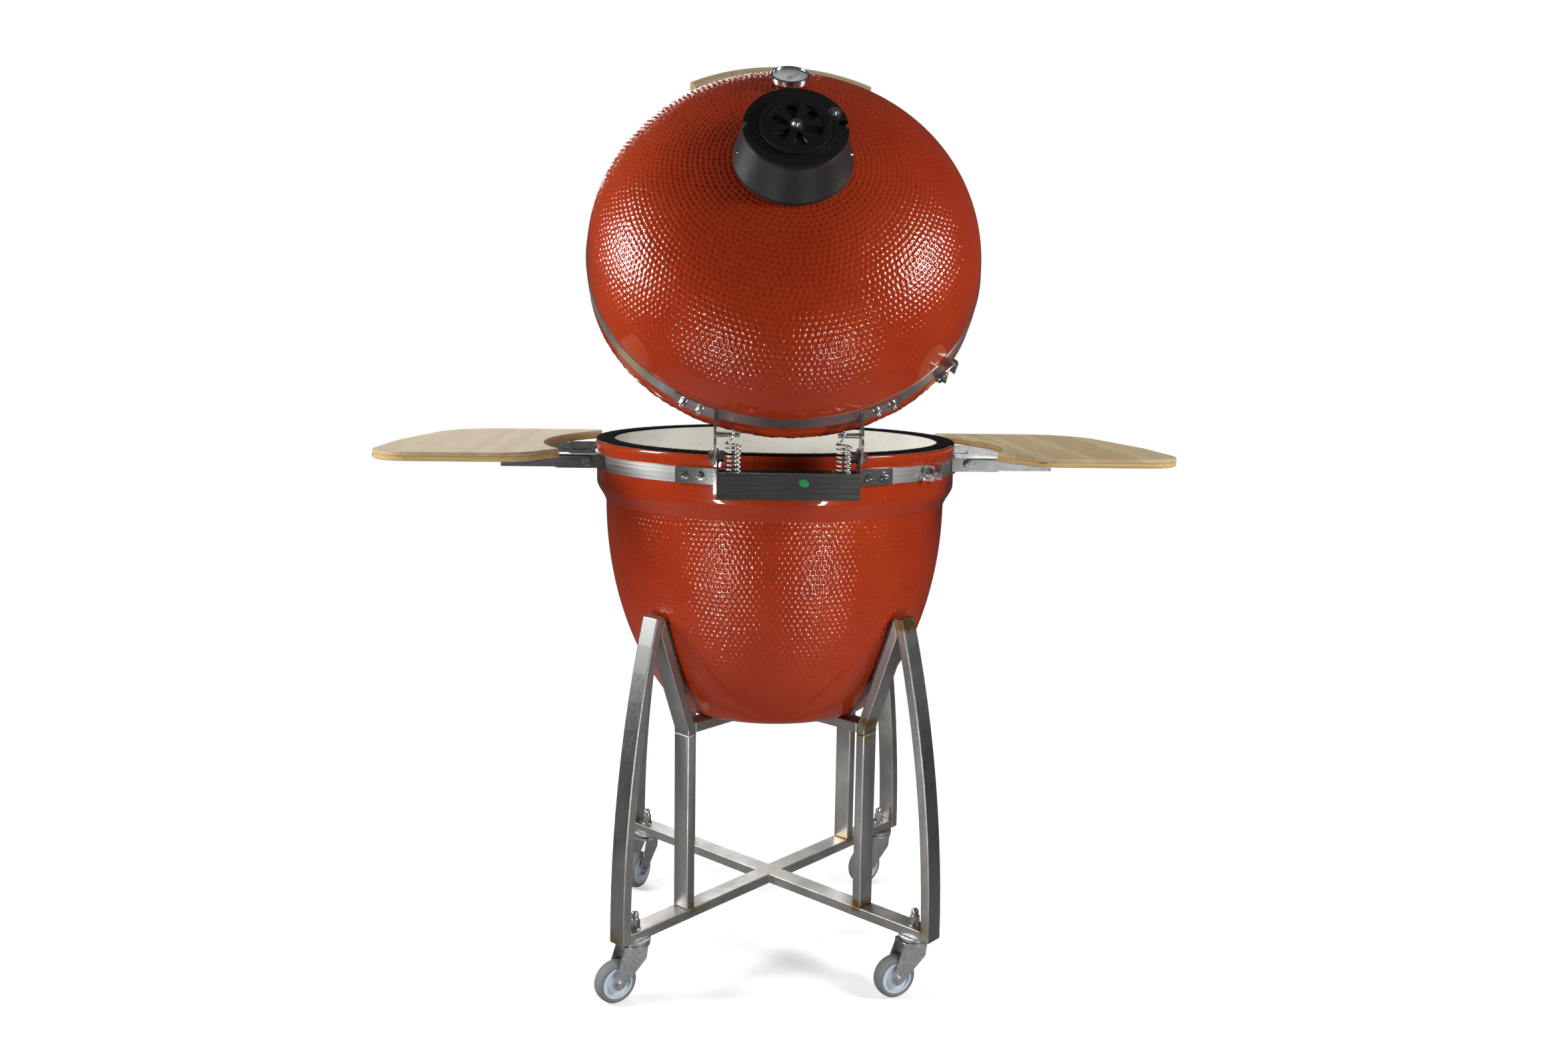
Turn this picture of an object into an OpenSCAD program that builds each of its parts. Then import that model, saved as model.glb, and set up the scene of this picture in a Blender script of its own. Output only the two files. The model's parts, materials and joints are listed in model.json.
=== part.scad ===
// Kamado ceramic grill on a stainless trolley, lid raised.
// +Z is up, -Y is the front (handle and draft door), +Y is the hinge side.
// The origin is on the floor, on the axis of the bowl.

/* [Ceramic shells] */
// Outer radius of bowl and lid where they meet
rim_r = 273; // [271:0.5:276]
// Height of the bowl rim above the floor
rim_z = 800; // [796:1:804]
// Height of the flat foot of the bowl
foot_z = 394; // [393:1:396]
// Largest radius of the bowl belly
belly_r = 258; // [256:0.5:259]
// Height at which the belly is widest
belly_z = 705; // [700:1:708]
// Semi-height of the belly ellipse
belly_h = 390; // [385:1:400]
// Thickness of the bowl wall
wall = 28; // [24:1:30]
// Largest radius of the dome
dome_r = 275; // [274:0.5:276]
// Height from the widest ring of the dome to its crown
dome_h = 227; // [223:1:236]
// Squareness of the dome outline, 2 is an ellipse
dome_p = 2.55; // [2.4:0.05:2.7]
// Thickness of the dome wall
dome_wall = 24; // [20:1:26]
// Radius of the chimney hole at the crown
flue_r = 48; // [44:1:50]

/* [Lid hinge] */
// Angle at which the lid stands open
open_angle = 53; // [45:1:56]
// Distance of the hinge axis behind the bowl axis
pivot_y = 300; // [298:1:303]
// Height of the hinge axis
pivot_z = 803; // [800:1:806]
// Thickness of the felt gasket on each rim
felt_t = 3; // [2.5:0.1:3.2]
// Half length of the spring channel behind the bowl
channel_x = 93.3; // [92:0.1:94]
// Distance of each spring from the middle
spring_x = 72; // [66:1:74]

/* [Bands] */
// Height of each steel band
band_h = 22; // [20:1:24]
// Thickness of each steel band
band_t = 2; // [1.5:0.1:2.4]
// Height of the lower band's bottom edge
low_band_z = 760; // [757:1:762]
// Height of the upper band's bottom edge, lid closed
high_band_z = 830; // [829:1:834]

/* [Chimney and thermometer] */
// Radius of the chimney collar at the dome
collar_r = 77; // [75:1:78]
// Radius of the chimney collar at the top
collar_top_r = 65; // [62:1:67]
// Height of the chimney collar
collar_h = 48; // [44:1:50]
// Radius of the daisy wheel
daisy_r = 39; // [36:1:40]
// Radius of the thermometer bezel
gauge_r = 26.5; // [26:0.5:30]

/* [Shelves] */
// Distance from the middle to the tip of a shelf
shelf_tip = 572; // [560:1:600]
// Distance from the middle to the hollow of a shelf
shelf_in = 350; // [344:1:354]
// Half length of a shelf, front to back
shelf_half = 207; // [190:1:210]
// Thickness of a shelf board
shelf_t = 13; // [12:0.5:16]
// Height of the top of a shelf
shelf_z = 795; // [794:1:797]

/* [Stand] */
// Width of the stand tube across a frame
tube_w = 30; // [28:1:32]
// Depth of the stand tube within a frame
tube_t = 15; // [14:0.5:16]
// Height of the underside of the bottom cross
cross_z = 90; // [88:1:92]
// Radius of the outer face of a leg at its foot
leg_r = 325; // [320:1:330]
// Bending radius of a leg
leg_bend = 1760; // [1700:10:1850]
// Height of the top of a leg
leg_top = 561; // [555:1:566]
// Radius of the outer face of a post
post_r = 198; // [194:1:200]
// Height of the underside of the cradle cross
cradle_z = 377; // [376:1:378]

/* [Casters] */
// Distance from the middle to each caster stem, along X and along Y
stem_xy = 204.7; // [203:0.1:206]
// Radius of a caster wheel
wheel_r = 31; // [30:0.5:32]
// Width of a caster wheel
wheel_w = 22; // [20:1:23]
// Distance from the stem to the axle
trail = 32; // [30:1:34]

/* [Hidden] */
$fn = 96;
eps = 0.01;

glaze = [0.60, 0.14, 0.06];
clay = [0.86, 0.83, 0.76];
steel = [0.72, 0.72, 0.70];
felt = [0.08, 0.08, 0.08];
cast = [0.10, 0.10, 0.11];
bamboo = [0.80, 0.63, 0.38];
chrome = [0.85, 0.86, 0.88];
tyre_grey = [0.45, 0.46, 0.48];

// ---- Places shared by several pieces ----
felt_gap = 0.3;
lid_z = rim_z + 2 * felt_t + felt_gap;
dome_z = lid_z + 4;
crown_hole_z = dome_z + dome_h * pow(1 - pow(flue_r / dome_r, dome_p), 1 / dome_p);
collar_z = crown_hole_z + 0.2;
collar_top = collar_z + collar_h;
felt_in = rim_r - wall;

// Puts a piece that was drawn on the closed lid where the open lid holds it.
module on_lid() {
    translate([0, pivot_y, pivot_z]) rotate([-open_angle, 0, 0])
        translate([0, -pivot_y, -pivot_z]) children();
}

// Draws its children on both sides of the middle plane.
module both_sides() {
    children();
    mirror([1, 0, 0]) children();
}

// A ring with a square section.
module ring(r_out, r_in, z_low, height) {
    translate([0, 0, z_low]) difference() {
        cylinder(r = r_out, h = height);
        translate([0, 0, -1]) cylinder(r = r_in, h = height + 2);
    }
}

// Part of a ring, from one angle to another, measured from +X towards +Y.
module ring_part(r_out, r_in, z_low, height, from, to) {
    translate([0, 0, z_low]) rotate([0, 0, from]) rotate_extrude(angle = to - from, $fn = 180)
        translate([r_in, 0]) square([r_out - r_in, height]);
}

// A hexagon bolt head or nut with a washer under it, standing on z = 0.
module hex_head(across, height) {
    cylinder(r = across * 0.72, h = 1.2, $fn = 32);
    cylinder(r = across / sqrt(3), h = height + 1.2, $fn = 6);
}

// Turns +Z to point outwards from the bowl axis, at an angle from +X and a height.
module outward(angle, radius, z) {
    rotate([0, 0, angle]) translate([radius, 0, z]) rotate([0, 90, 0]) children();
}

// ---- Bowl and dome ----
foot_a = asin((belly_z - foot_z) / belly_h);

module base_bowl() {
    steps = 18;
    inner_foot = foot_z + 30;
    inner_h = belly_h - 26;
    inner_a = asin((belly_z - inner_foot) / inner_h);
    foot_r = belly_r * cos(foot_a);
    outer = [for (i = [0 : steps]) let (a = foot_a * (1 - i / steps) * 0.985)
        [belly_r * cos(a), belly_z - belly_h * sin(a)]];
    shoulder = [for (i = [1 : 8]) let (t = i / 8)
        [belly_r + (rim_r - 1 - belly_r) * (1 - cos(180 * t)) / 2, belly_z + 34 * t]];
    lip = [[rim_r - 1, rim_z - 14], [rim_r, rim_z - 10], [rim_r, rim_z - 1.5], [rim_r - 1.5, rim_z]];
    inner = [for (i = [0 : steps]) let (a = inner_a * i / steps)
        [(belly_r - wall + 6) * cos(a), belly_z - inner_h * sin(a)]];
    color(glaze) difference() {
        rotate_extrude($fn = 180) polygon(concat([[0, foot_z], [foot_r - 9, foot_z]], outer, shoulder,
            lip, [[felt_in + 2, rim_z], [felt_in, rim_z - 2], [felt_in, belly_z + 40]],
            inner, [[0, inner_foot]]));
        translate([-duct_x, -rim_r, duct_z]) cube([2 * duct_x, rim_r - 100, duct_h]);
    }
}

module dome_lid() {
    steps = 22;
    end_a = acos(pow(flue_r / dome_r, dome_p / 2));
    in_r = dome_r - dome_wall;
    in_h = dome_h - dome_wall * 0.9;
    in_a = acos(pow(flue_r / in_r, dome_p / 2));
    outer = [for (i = [1 : steps]) let (a = end_a * i / steps)
        [dome_r * pow(cos(a), 2 / dome_p), dome_z + dome_h * pow(sin(a), 2 / dome_p)]];
    kept = [for (p = outer) if (p[1] > high_band_z + band_h + 4) p];
    inner = [for (i = [steps : -1 : 1]) let (a = in_a * i / steps)
        [in_r * pow(cos(a), 2 / dome_p), dome_z + in_h * pow(sin(a), 2 / dome_p)]];
    kept_in = [for (p = inner) if (p[1] > dome_z + 12) p];
    color(glaze) on_lid() difference() {
        rotate_extrude($fn = 180) polygon(concat(
            [[felt_in + 2, lid_z], [rim_r - 1.5, lid_z], [rim_r, lid_z + 1.5],
             [rim_r, high_band_z - 5], [rim_r - 1, high_band_z - 1],
             [rim_r - 1, high_band_z + band_h + 1]], kept, kept_in,
            [[felt_in, lid_z + 2]]));
        gauge_place() translate([0, 0, -60]) cylinder(r = 5, h = 90, $fn = 32);
    }
}

// ---- Pieces inside the bowl ----
box_low = foot_z + 30.2;
ring_low = box_low + 170.2;
ring_high = ring_low + 120;
module fire_box() {
    low = box_low;
    high = low + 170;
    color(clay) difference() {
        rotate_extrude($fn = 120) polygon([[0, low], [128, low], [196, high], [171, high],
            [118, low + 24], [95, low + 22], [0, low + 22]]);
        for (i = [0 : 5]) rotate([0, 0, 60 * i + 30]) translate([55, 0, low - 1])
            cylinder(r = 12, h = 30, $fn = 32);
        translate([0, 0, low - 1]) cylinder(r = 24, h = 30, $fn = 48);
        translate([-45, -200, low + 26]) cube([90, 120, 44]);
    }
}

module fire_ring() {
    high = ring_high;
    color(clay) rotate_extrude($fn = 120) polygon([[172, ring_low], [196, ring_low],
        [221, high - 6], [221, high], [199, high], [197, high - 20]]);
}

module charcoal_grate() {
    low = box_low + 76.2;
    color(cast) difference() {
        translate([0, 0, low]) cylinder(r = 136.4, h = 8);
        for (ring_no = [1 : 3]) for (i = [0 : 6 * ring_no - 1])
            rotate([0, 0, i * 60 / ring_no]) translate([34 * ring_no, 0, low - 1])
                cylinder(r = 8, h = 10, $fn = 24);
        translate([0, 0, low - 1]) cylinder(r = 8, h = 10, $fn = 24);
    }
}

grid_r = 217;
module cooking_grid() {
    bar = 2.4;
    mid_z = ring_high + 3.4;
    color(chrome) {
        translate([0, 0, mid_z]) rotate_extrude($fn = 120)
            translate([grid_r, 0]) circle(r = 3.2, $fn = 24);
        for (i = [-11 : 11]) let (x = 18 * i, half = sqrt(grid_r * grid_r - x * x))
            translate([x, -half, mid_z]) rotate([-90, 0, 0])
                cylinder(r = bar, h = 2 * half, $fn = 16);
        for (side = [-1, 1]) translate([-sqrt(grid_r * grid_r - 8100), side * 90, mid_z + 2 * bar - 0.6])
            rotate([0, 90, 0]) cylinder(r = bar, h = 2 * sqrt(grid_r * grid_r - 8100), $fn = 16);
    }
}

// ---- Draft door at the foot of the bowl ----
duct_x = 58;
duct_z = 440;
duct_h = 62;
duct_face = -231;
module draft_frame() {
    color(steel) {
        difference() {
            translate([-duct_x, duct_face, duct_z]) cube([2 * duct_x, 71, duct_h]);
            translate([-duct_x + 2, duct_face - 1, duct_z + 2])
                cube([2 * duct_x - 4, 73, duct_h - 4]);
        }
        for (z = [duct_z - 7, duct_z + duct_h + 2]) {
            translate([-duct_x, duct_face - 9, z]) cube([2 * duct_x, 9, 5]);
        }
        difference() {
            translate([-duct_x, duct_face - 2, duct_z - 7]) cube([2 * duct_x, 2, duct_h + 14]);
            translate([-duct_x + 2, duct_face - 3, duct_z + 2])
                cube([2 * duct_x - 4, 4, duct_h - 4]);
        }
        for (z = [duct_z - 7, duct_z + duct_h]) {
            translate([-duct_x, duct_face - 11, z]) cube([2 * duct_x, 2, 7]);
        }
    }
}

module draft_door() {
    color(steel) {
        translate([-duct_x + 1, duct_face - 8.4, duct_z - 1.5])
            cube([2 * duct_x - 2, 2, duct_h + 3]);
        translate([-40, duct_face - 8.4 + eps, duct_z + duct_h / 2]) rotate([90, 0, 0])
            cylinder(r = 6, h = 14, $fn = 32);
        translate([-40, duct_face - 22, duct_z + duct_h / 2]) sphere(r = 8, $fn = 32);
    }
}

module draft_screen() {
    color(steel) {
        difference() {
            translate([-duct_x + 1, duct_face - 4.4, duct_z - 1.5])
                cube([2 * duct_x - 2, 1.6, duct_h + 3]);
            translate([-duct_x + 9, duct_face - 5, duct_z + 5])
                cube([2 * duct_x - 18, 3, duct_h - 10]);
        }
        for (i = [-6 : 6]) translate([8 * i - 0.6, duct_face - 4.2, duct_z + 4])
            cube([1.2, 1.2, duct_h - 8]);
        for (i = [0 : 6]) translate([-duct_x + 8, duct_face - 4.2, duct_z + 7 + 8 * i])
            cube([2 * duct_x - 16, 1.2, 1.2]);
    }
}

// ---- Gaskets and bands ----
module lower_gasket() {
    color(felt) ring(rim_r - 0.5, felt_in + 1, rim_z, felt_t);
}

module upper_gasket() {
    color(felt) on_lid() ring(rim_r - 0.5, felt_in + 1, lid_z - felt_t, felt_t);
}

band_in = rim_r - 1;
band_out = band_in + band_t;
// Direction of the clamp, measured from +X towards +Y
clamp_a = 139;
// A band open at the clamp, with a lug at each side of the gap.
module band(z) {
    gap = 4;
    lug_r = band_out + 17;
    ring_part(band_out, band_in, z, band_h, clamp_a + gap / 2, clamp_a + 360 - gap / 2);
    for (side = [-1, 1]) rotate([0, 0, clamp_a]) {
        translate([band_in, side * 10.5 - 1, z]) cube([lug_r - band_in, 2, band_h]);
    }
}

module clamp_bolt(z) {
    rotate([0, 0, clamp_a]) translate([band_out + 9, 0, z + band_h / 2]) {
        rotate([90, 0, 0]) translate([0, 0, -20]) cylinder(r = 3, h = 42, $fn = 32);
        translate([0, 12.6, 0]) rotate([-90, 0, 0]) hex_head(11, 5);
        translate([0, -12.6, 0]) rotate([90, 0, 0]) hex_head(11, 6);
    }
}

module lower_band() {
    color(steel) difference() {
        band(low_band_z);
        clamp_hole(low_band_z);
    }
}

module upper_band() {
    color(steel) on_lid() difference() {
        band(high_band_z);
        clamp_hole(high_band_z);
    }
}

module clamp_hole(z) {
    rotate([0, 0, clamp_a]) translate([band_out + 9, 0, z + band_h / 2])
        rotate([90, 0, 0]) cylinder(r = 3.3, h = 60, center = true, $fn = 32);
}

// Angles from +X of the bolts in the hinge flanges, on the +X side
flange_bolts = [60.4, 65.4];
flange_t = 3;
flange_out = band_out + 0.2 + flange_t;

module flange_bolt_pair(z) {
    both_sides() for (a = flange_bolts) outward(a, flange_out + 0.1, z) {
        hex_head(9, 4.5);
        translate([0, 0, 5]) cylinder(r = 2.4, h = 4, $fn = 24);
    }
}

module lower_band_bolts() {
    color(chrome) {
        clamp_bolt(low_band_z);
        flange_bolt_pair(low_band_z + band_h / 2);
    }
}

module upper_band_bolts() {
    color(chrome) on_lid() {
        clamp_bolt(high_band_z);
        flange_bolt_pair(high_band_z + band_h / 2);
        both_sides() for (turn = [-2.3, 2.3]) outward(287 + turn, flange_out + 0.1, high_band_z + band_h / 2)
            hex_head(9, 4.5);
    }
}

// ---- Hinge ----
channel_low = 749;
channel_h = 35;
channel_front = 284;
channel_back = 330;
sheet = 2.5;
ear_x = channel_x - sheet;
arm_x = channel_x + 1;
arm_t = 3;
// Where a side plate at x starts, half way into the flange that follows its band
function flange_y(x) = sqrt(pow(band_out + 0.2, 2) - x * x) + 1;

// A plate in the YZ plane with a round end at the pivot, reaching to a second point.
module ear_plate(y, z, r_end) {
    rotate([90, 0, 90]) linear_extrude(sheet) hull() {
        translate([pivot_y, pivot_z]) circle(r = 12, $fn = 32);
        translate([y, z]) circle(r = r_end, $fn = 32);
        translate([y - 24, z]) circle(r = r_end, $fn = 32);
    }
}

module hinge_channel() {
    length = 2 * channel_x;
    color(steel) difference() {
        union() {
            difference() {
                translate([-channel_x, channel_front, channel_low])
                    cube([length, channel_back - channel_front, channel_h]);
                translate([-channel_x + sheet, channel_front + sheet, channel_low + sheet])
                    cube([length - 2 * sheet, channel_back - channel_front - 2 * sheet, channel_h]);
            }
            both_sides() {
                translate([ear_x, 0, 0]) ear_plate(318, channel_low + 24, 8);
                translate([ear_x, flange_y(ear_x), low_band_z + 0.5])
                    cube([sheet, channel_front - flange_y(ear_x) + 1, band_h - 1]);
                ring_part(flange_out, band_out + 0.2, low_band_z, band_h, 57.5, 70.8);
            }
        }
        translate([0, pivot_y, pivot_z]) rotate([0, 90, 0])
            cylinder(r = 4.05, h = 260, center = true, $fn = 48);
    }
}

spring_y = 316;
pin_z = 833;

module hinge_arm() {
    difference() {
        union() {
            translate([arm_x, 0, 0]) rotate([90, 0, 90]) linear_extrude(arm_t) {
                hull() {
                    translate([pivot_y, pivot_z]) circle(r = 12, $fn = 32);
                    translate([pivot_y - 4, high_band_z - 2]) circle(r = 7, $fn = 32);
                    translate([flange_y(arm_x), high_band_z + 0.5]) square([2, band_h - 1]);
                }
                closed_pin_outline();
            }
            ring_part(flange_out, band_out + 0.2, high_band_z, band_h, 57.5, 70.6);
        }
        translate([arm_x - 1, pivot_y, pivot_z]) rotate([0, 90, 0])
            cylinder(r = 4.05, h = arm_t + 2, $fn = 48);
    }
    closed_pin() cylinder(r = 3.5, h = arm_x - spring_x + 9, $fn = 32);
}

// Where the spring pin lies on the closed lid, found by turning it back from the open lid.
pin_dy = (spring_y - pivot_y) * cos(open_angle) - (pin_z - pivot_z) * sin(open_angle);
pin_dz = (spring_y - pivot_y) * sin(open_angle) + (pin_z - pivot_z) * cos(open_angle);

module closed_pin() {
    translate([spring_x - 8, pivot_y + pin_dy, pivot_z + pin_dz]) rotate([0, 90, 0]) children();
}

module closed_pin_outline() {
    hull() {
        translate([pivot_y + pin_dy, pivot_z + pin_dz]) circle(r = 8, $fn = 32);
        translate([pivot_y, pivot_z]) circle(r = 12, $fn = 32);
    }
}

module hinge_arm_left() {
    color(steel) on_lid() hinge_arm();
}

module hinge_arm_right() {
    color(steel) on_lid() mirror([1, 0, 0]) hinge_arm();
}

module pivot_bolts() {
    color(chrome) both_sides() translate([0, pivot_y, pivot_z]) rotate([0, 90, 0]) {
        translate([0, 0, ear_x - 7]) cylinder(r = 4, h = arm_x + arm_t - ear_x + 8, $fn = 48);
        translate([0, 0, arm_x + arm_t + 0.15]) hex_head(13, 5.5);
        translate([0, 0, ear_x - 0.15]) rotate([180, 0, 0]) hex_head(13, 6);
    }
}

// Centre line of a spring: a loop round a floor pin, the coil, and a hook over the arm's pin.
coil_r = 9.5;
wire_r = 1.7;
coil_low = channel_low + 12;
coil_high = pin_z - 10;
turns = 14;
function spring_path() = concat(
    [for (i = [0 : 6]) let (a = 90 + 30 * i) [0, 5 * cos(a), channel_low + 10 + 5 * sin(a)]],
    [for (i = [0 : turns * 14]) let (a = 360 * i / 14)
        [coil_r * cos(a), coil_r * sin(a), coil_low + (coil_high - coil_low) * i / (turns * 14)]],
    [[7, 3, coil_high + 2.5], [2, 5.2, coil_high + 5]],
    [for (i = [0 : 8]) let (a = 200 * i / 8 - 10) [0, 5.6 * cos(a), pin_z + 5.6 * sin(a)]]);

// A round wire swept along a list of points.
module wire(path, r) {
    sides = 8;
    last = len(path) - 1;
    points = [for (i = [0 : last])
        let (ahead = path[min(i + 1, last)] - path[max(i - 1, 0)],
             d = ahead / norm(ahead),
             ref = abs(d[1]) > 0.9 ? [1, 0, 0] : [0, 1, 0],
             u0 = cross(d, ref), u = u0 / norm(u0), v = cross(d, u))
        for (k = [0 : sides - 1]) path[i] + r * (cos(360 * k / sides) * u + sin(360 * k / sides) * v)];
    sides_faces = [for (i = [0 : last - 1]) for (k = [0 : sides - 1])
        let (a = i * sides + k, b = i * sides + (k + 1) % sides) [a, b, b + sides, a + sides]];
    caps = [[for (k = [sides - 1 : -1 : 0]) k], [for (k = [0 : sides - 1]) last * sides + k]];
    polyhedron(points, concat(sides_faces, caps));
}

module spring_left() {
    color(steel) translate([spring_x, spring_y, 0]) wire(spring_path(), wire_r);
}

module spring_right() {
    color(steel) translate([-spring_x, spring_y, 0]) wire(spring_path(), wire_r);
}

// ---- Chimney ----
// The screw that the cap swings about, from the chimney axis
screw_x = -49;
screw_y = -26;
cap_t = 5;
cap_low = collar_top + 0.3;

module vent_collar() {
    color(cast) on_lid() difference() {
        rotate_extrude($fn = 120) polygon([[flue_r, collar_z], [64, collar_z], [collar_r, collar_z - 2.2],
            [collar_r, collar_z + 2], [collar_top_r, collar_top - 2], [collar_top_r - 1.5, collar_top],
            [flue_r, collar_top]]);
        translate([screw_x, screw_y, collar_top - 12]) cylinder(r = 2.5, h = 20, $fn = 32);
    }
}

module vent_screws() {
    slope = atan((collar_r - collar_top_r) / (collar_h - 4));
    side_r = collar_r - 18 * tan(slope) + 0.15;
    color(chrome) on_lid() {
        translate([screw_x, screw_y, collar_top - 11.5]) cylinder(r = 2.45, h = cap_t + 13, $fn = 32);
        translate([screw_x, screw_y, cap_low + cap_t + 0.2]) {
            cylinder(r = 8.5, h = 1.2, $fn = 32);
            translate([0, 0, 1.2]) cylinder(r1 = 5.5, r2 = 3.5, h = 3.4, $fn = 32);
        }
        for (a = [8, 172]) outward(a, side_r, collar_z + 20) rotate([0, -slope, 0])
            cylinder(r1 = 3.4, r2 = 2.2, h = 2.6, $fn = 24);
    }
}

petals = 6;
// One teardrop hole, drawn along +X.
module petal(height) {
    linear_extrude(height) hull() {
        translate([26, 0]) circle(r = 8, $fn = 32);
        translate([13, 0]) circle(r = 2.5, $fn = 32);
    }
}

module vent_cap() {
    color(cast) on_lid() difference() {
        union() {
            translate([0, 0, cap_low]) cylinder(r = collar_top_r + 1, h = cap_t, $fn = 120);
            ring(daisy_r + 7, daisy_r + 0.6, cap_low + cap_t - eps, 5.5);
            ring(daisy_r + 10.5, daisy_r + 8.5, cap_low + cap_t - eps, 1.2);
        }
        for (i = [0 : petals - 1]) rotate([0, 0, 60 * i + 12]) translate([0, 0, cap_low - 1]) petal(cap_t + 2);
        translate([screw_x, screw_y, cap_low - 1]) cylinder(r = 2.55, h = 20, $fn = 32);
        translate([screw_x, screw_y, cap_low + cap_t]) cylinder(r = 9, h = 20, $fn = 32);
        translate([screw_x - 9, screw_y + 21, cap_low - 1]) cylinder(r = 9, h = 20, $fn = 32);
        translate([collar_top_r + 3, -2, cap_low - 1]) cylinder(r = 7, h = 20, $fn = 32);
        translate([0, 0, cap_low - 1]) cylinder(r = 3.55, h = 20, $fn = 32);
        translate([0, 0, cap_low - 1]) cylinder(r = 6.2, h = 3, $fn = 32);
    }
}

module daisy_wheel() {
    low = cap_low + cap_t + 0.3;
    color(cast) on_lid() difference() {
        union() {
            translate([0, 0, low]) cylinder(r = daisy_r, h = 3.4, $fn = 120);
            ring(daisy_r, daisy_r - 3, low + 3.4 - eps, 1.6);
            translate([0, 0, low + 3.4 - eps]) cylinder(r = 10, h = 1.6, $fn = 48);
            translate([-8, -30, low + 3.4 - eps]) cylinder(r = 3, h = 6, $fn = 24);
        }
        for (i = [0 : petals - 1]) rotate([0, 0, 60 * i + 42]) translate([0, 0, low - 1]) petal(10);
        translate([0, 0, low - 1]) cylinder(r = 3.55, h = 20, $fn = 32);
    }
}

module daisy_rivet() {
    head = cap_low + cap_t + 5.5;
    color(chrome) on_lid() {
        translate([0, 0, cap_low + 0.2]) cylinder(r = 6, h = 1.6, $fn = 32);
        translate([0, 0, cap_low + 1]) cylinder(r = 3.5, h = head - cap_low, $fn = 32);
        translate([0, 0, head]) cylinder(r = 8, h = 1, $fn = 32);
        translate([0, 0, head + 1 - eps]) cylinder(r1 = 5.6, r2 = 3.6, h = 3.2, $fn = 32);
    }
}

// ---- Thermometer in the front of the dome ----
gauge_y = 147;
gauge_z = dome_z + dome_h * pow(1 - pow(gauge_y / dome_r, dome_p), 1 / dome_p);
gauge_tilt = 20;

module gauge_place() {
    translate([0, -gauge_y, gauge_z]) rotate([gauge_tilt, 0, 0]) children();
}

module thermometer_case() {
    r = gauge_r;
    color(chrome) on_lid() gauge_place() rotate_extrude($fn = 96) polygon([[0, 6], [8, 6], [8, 1.5],
        [12, 1.5], [12, 6], [r - 3, 6], [r - 1, 7.5], [r - 1, 9], [r - 0.4, 9.4], [r - 1, 9.9], [r - 1, 11],
        [r, 11.6], [r, 14.5], [r - 1, 15.6], [r - 3, 15.6], [r - 3.4, 14.6], [r - 3.4, 8], [0, 8]]);
}

module thermometer_dial() {
    color("white") on_lid() gauge_place() translate([0, 0, 8.1]) cylinder(r = gauge_r - 3.5, h = 0.8);
}

module thermometer_pointer() {
    color("black") on_lid() gauge_place() translate([0, 0, 10]) {
        translate([0, 0, -0.95]) cylinder(r = 1.2, h = 1, $fn = 32);
        cylinder(r = 2.4, h = 1.4, $fn = 32);
        rotate([0, 0, 225]) linear_extrude(0.8) polygon([[-6, -1.4], [-6, 1.4], [19, 0.25], [19, -0.25]]);
    }
}

module thermometer_glass() {
    color([0.9, 0.95, 1, 0.4]) on_lid() gauge_place() translate([0, 0, 12.4])
        cylinder(r = gauge_r - 3.5, h = 1.8);
}

module thermometer_stem() {
    color(chrome) on_lid() gauge_place() {
        translate([0, 0, -85]) cylinder(r = 3, h = 85 + 5.9, $fn = 32);
        translate([0, 0, -85]) sphere(r = 3, $fn = 32);
        translate([0, 0, -dome_wall - 9]) cylinder(r = 11 / sqrt(3), h = 6, $fn = 6);
    }
}

// ---- Handle on the front of the lid ----
handle_bend = 255;
handle_y = 320;
handle_mid_z = 867;
handle_end = 30;
// Rounded section of the handle, radial by vertical.
module handle_section(wide, tall, corner) {
    square([wide - 2 * corner, tall], center = true);
    square([wide, tall - 2 * corner], center = true);
    for (x = [-1, 1]) for (y = [-1, 1])
        translate([x * (wide / 2 - corner), y * (tall / 2 - corner)]) circle(r = corner, $fn = 32);
}

module handle() {
    color(bamboo) on_lid() translate([0, handle_bend - handle_y, handle_mid_z])
        rotate([0, 0, 270 - handle_end]) rotate_extrude(angle = 2 * handle_end, $fn = 180)
            translate([handle_bend, 0]) handle_section(27, 30, 9);
}

bracket_x = 80;
module handle_brackets() {
    reach = 300;
    color(steel) on_lid() both_sides() {
        ring_part(flange_out, band_out + 0.2, high_band_z, band_h, 281, 292.5);
        translate([bracket_x - 2, -reach, high_band_z + 3]) cube([4, reach - 264, band_h - 3.5]);
        translate([bracket_x - 2, -reach + 2, high_band_z + 3]) cube([16, 3, band_h - 3.5]);
        translate([bracket_x - 2, -reach - 15, handle_mid_z - 18.1]) cube([14, 24, 3]);
        translate([bracket_x - 2, -reach, high_band_z + 10]) cube([4, 10, handle_mid_z - 18.4 - high_band_z - 8]);
    }
}

// ---- Shelves ----
shelf_low = shelf_z - shelf_t;
shelf_bend = 275;
fold_x = 280;
fold_z = shelf_low - 8;
arm_y = 102;
plate_t = 3;

// Outline of a shelf: a long round outer edge that leans in towards the front, round corners
// and a hollow inner edge.
module shelf_outline() {
    outer_r = 268;
    outer_y = 60;
    near_r = 58;
    far_r = 104;
    difference() {
        hull() {
            translate([shelf_tip - 4 - outer_r, outer_y]) intersection() {
                circle(r = outer_r, $fn = 120);
                translate([0, -120]) square([outer_r, 170]);
            }
            translate([shelf_tip - near_r, shelf_half - near_r]) circle(r = near_r, $fn = 64);
            translate([shelf_tip - 33 - far_r, far_r - shelf_half]) circle(r = far_r, $fn = 96);
            translate([shelf_in + 44, shelf_half - near_r]) circle(r = near_r, $fn = 64);
            translate([shelf_in - 62, 8 - shelf_half]) circle(r = 8, $fn = 32);
        }
        translate([shelf_in - shelf_bend, 0]) circle(r = shelf_bend, $fn = 120);
    }
}

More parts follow.
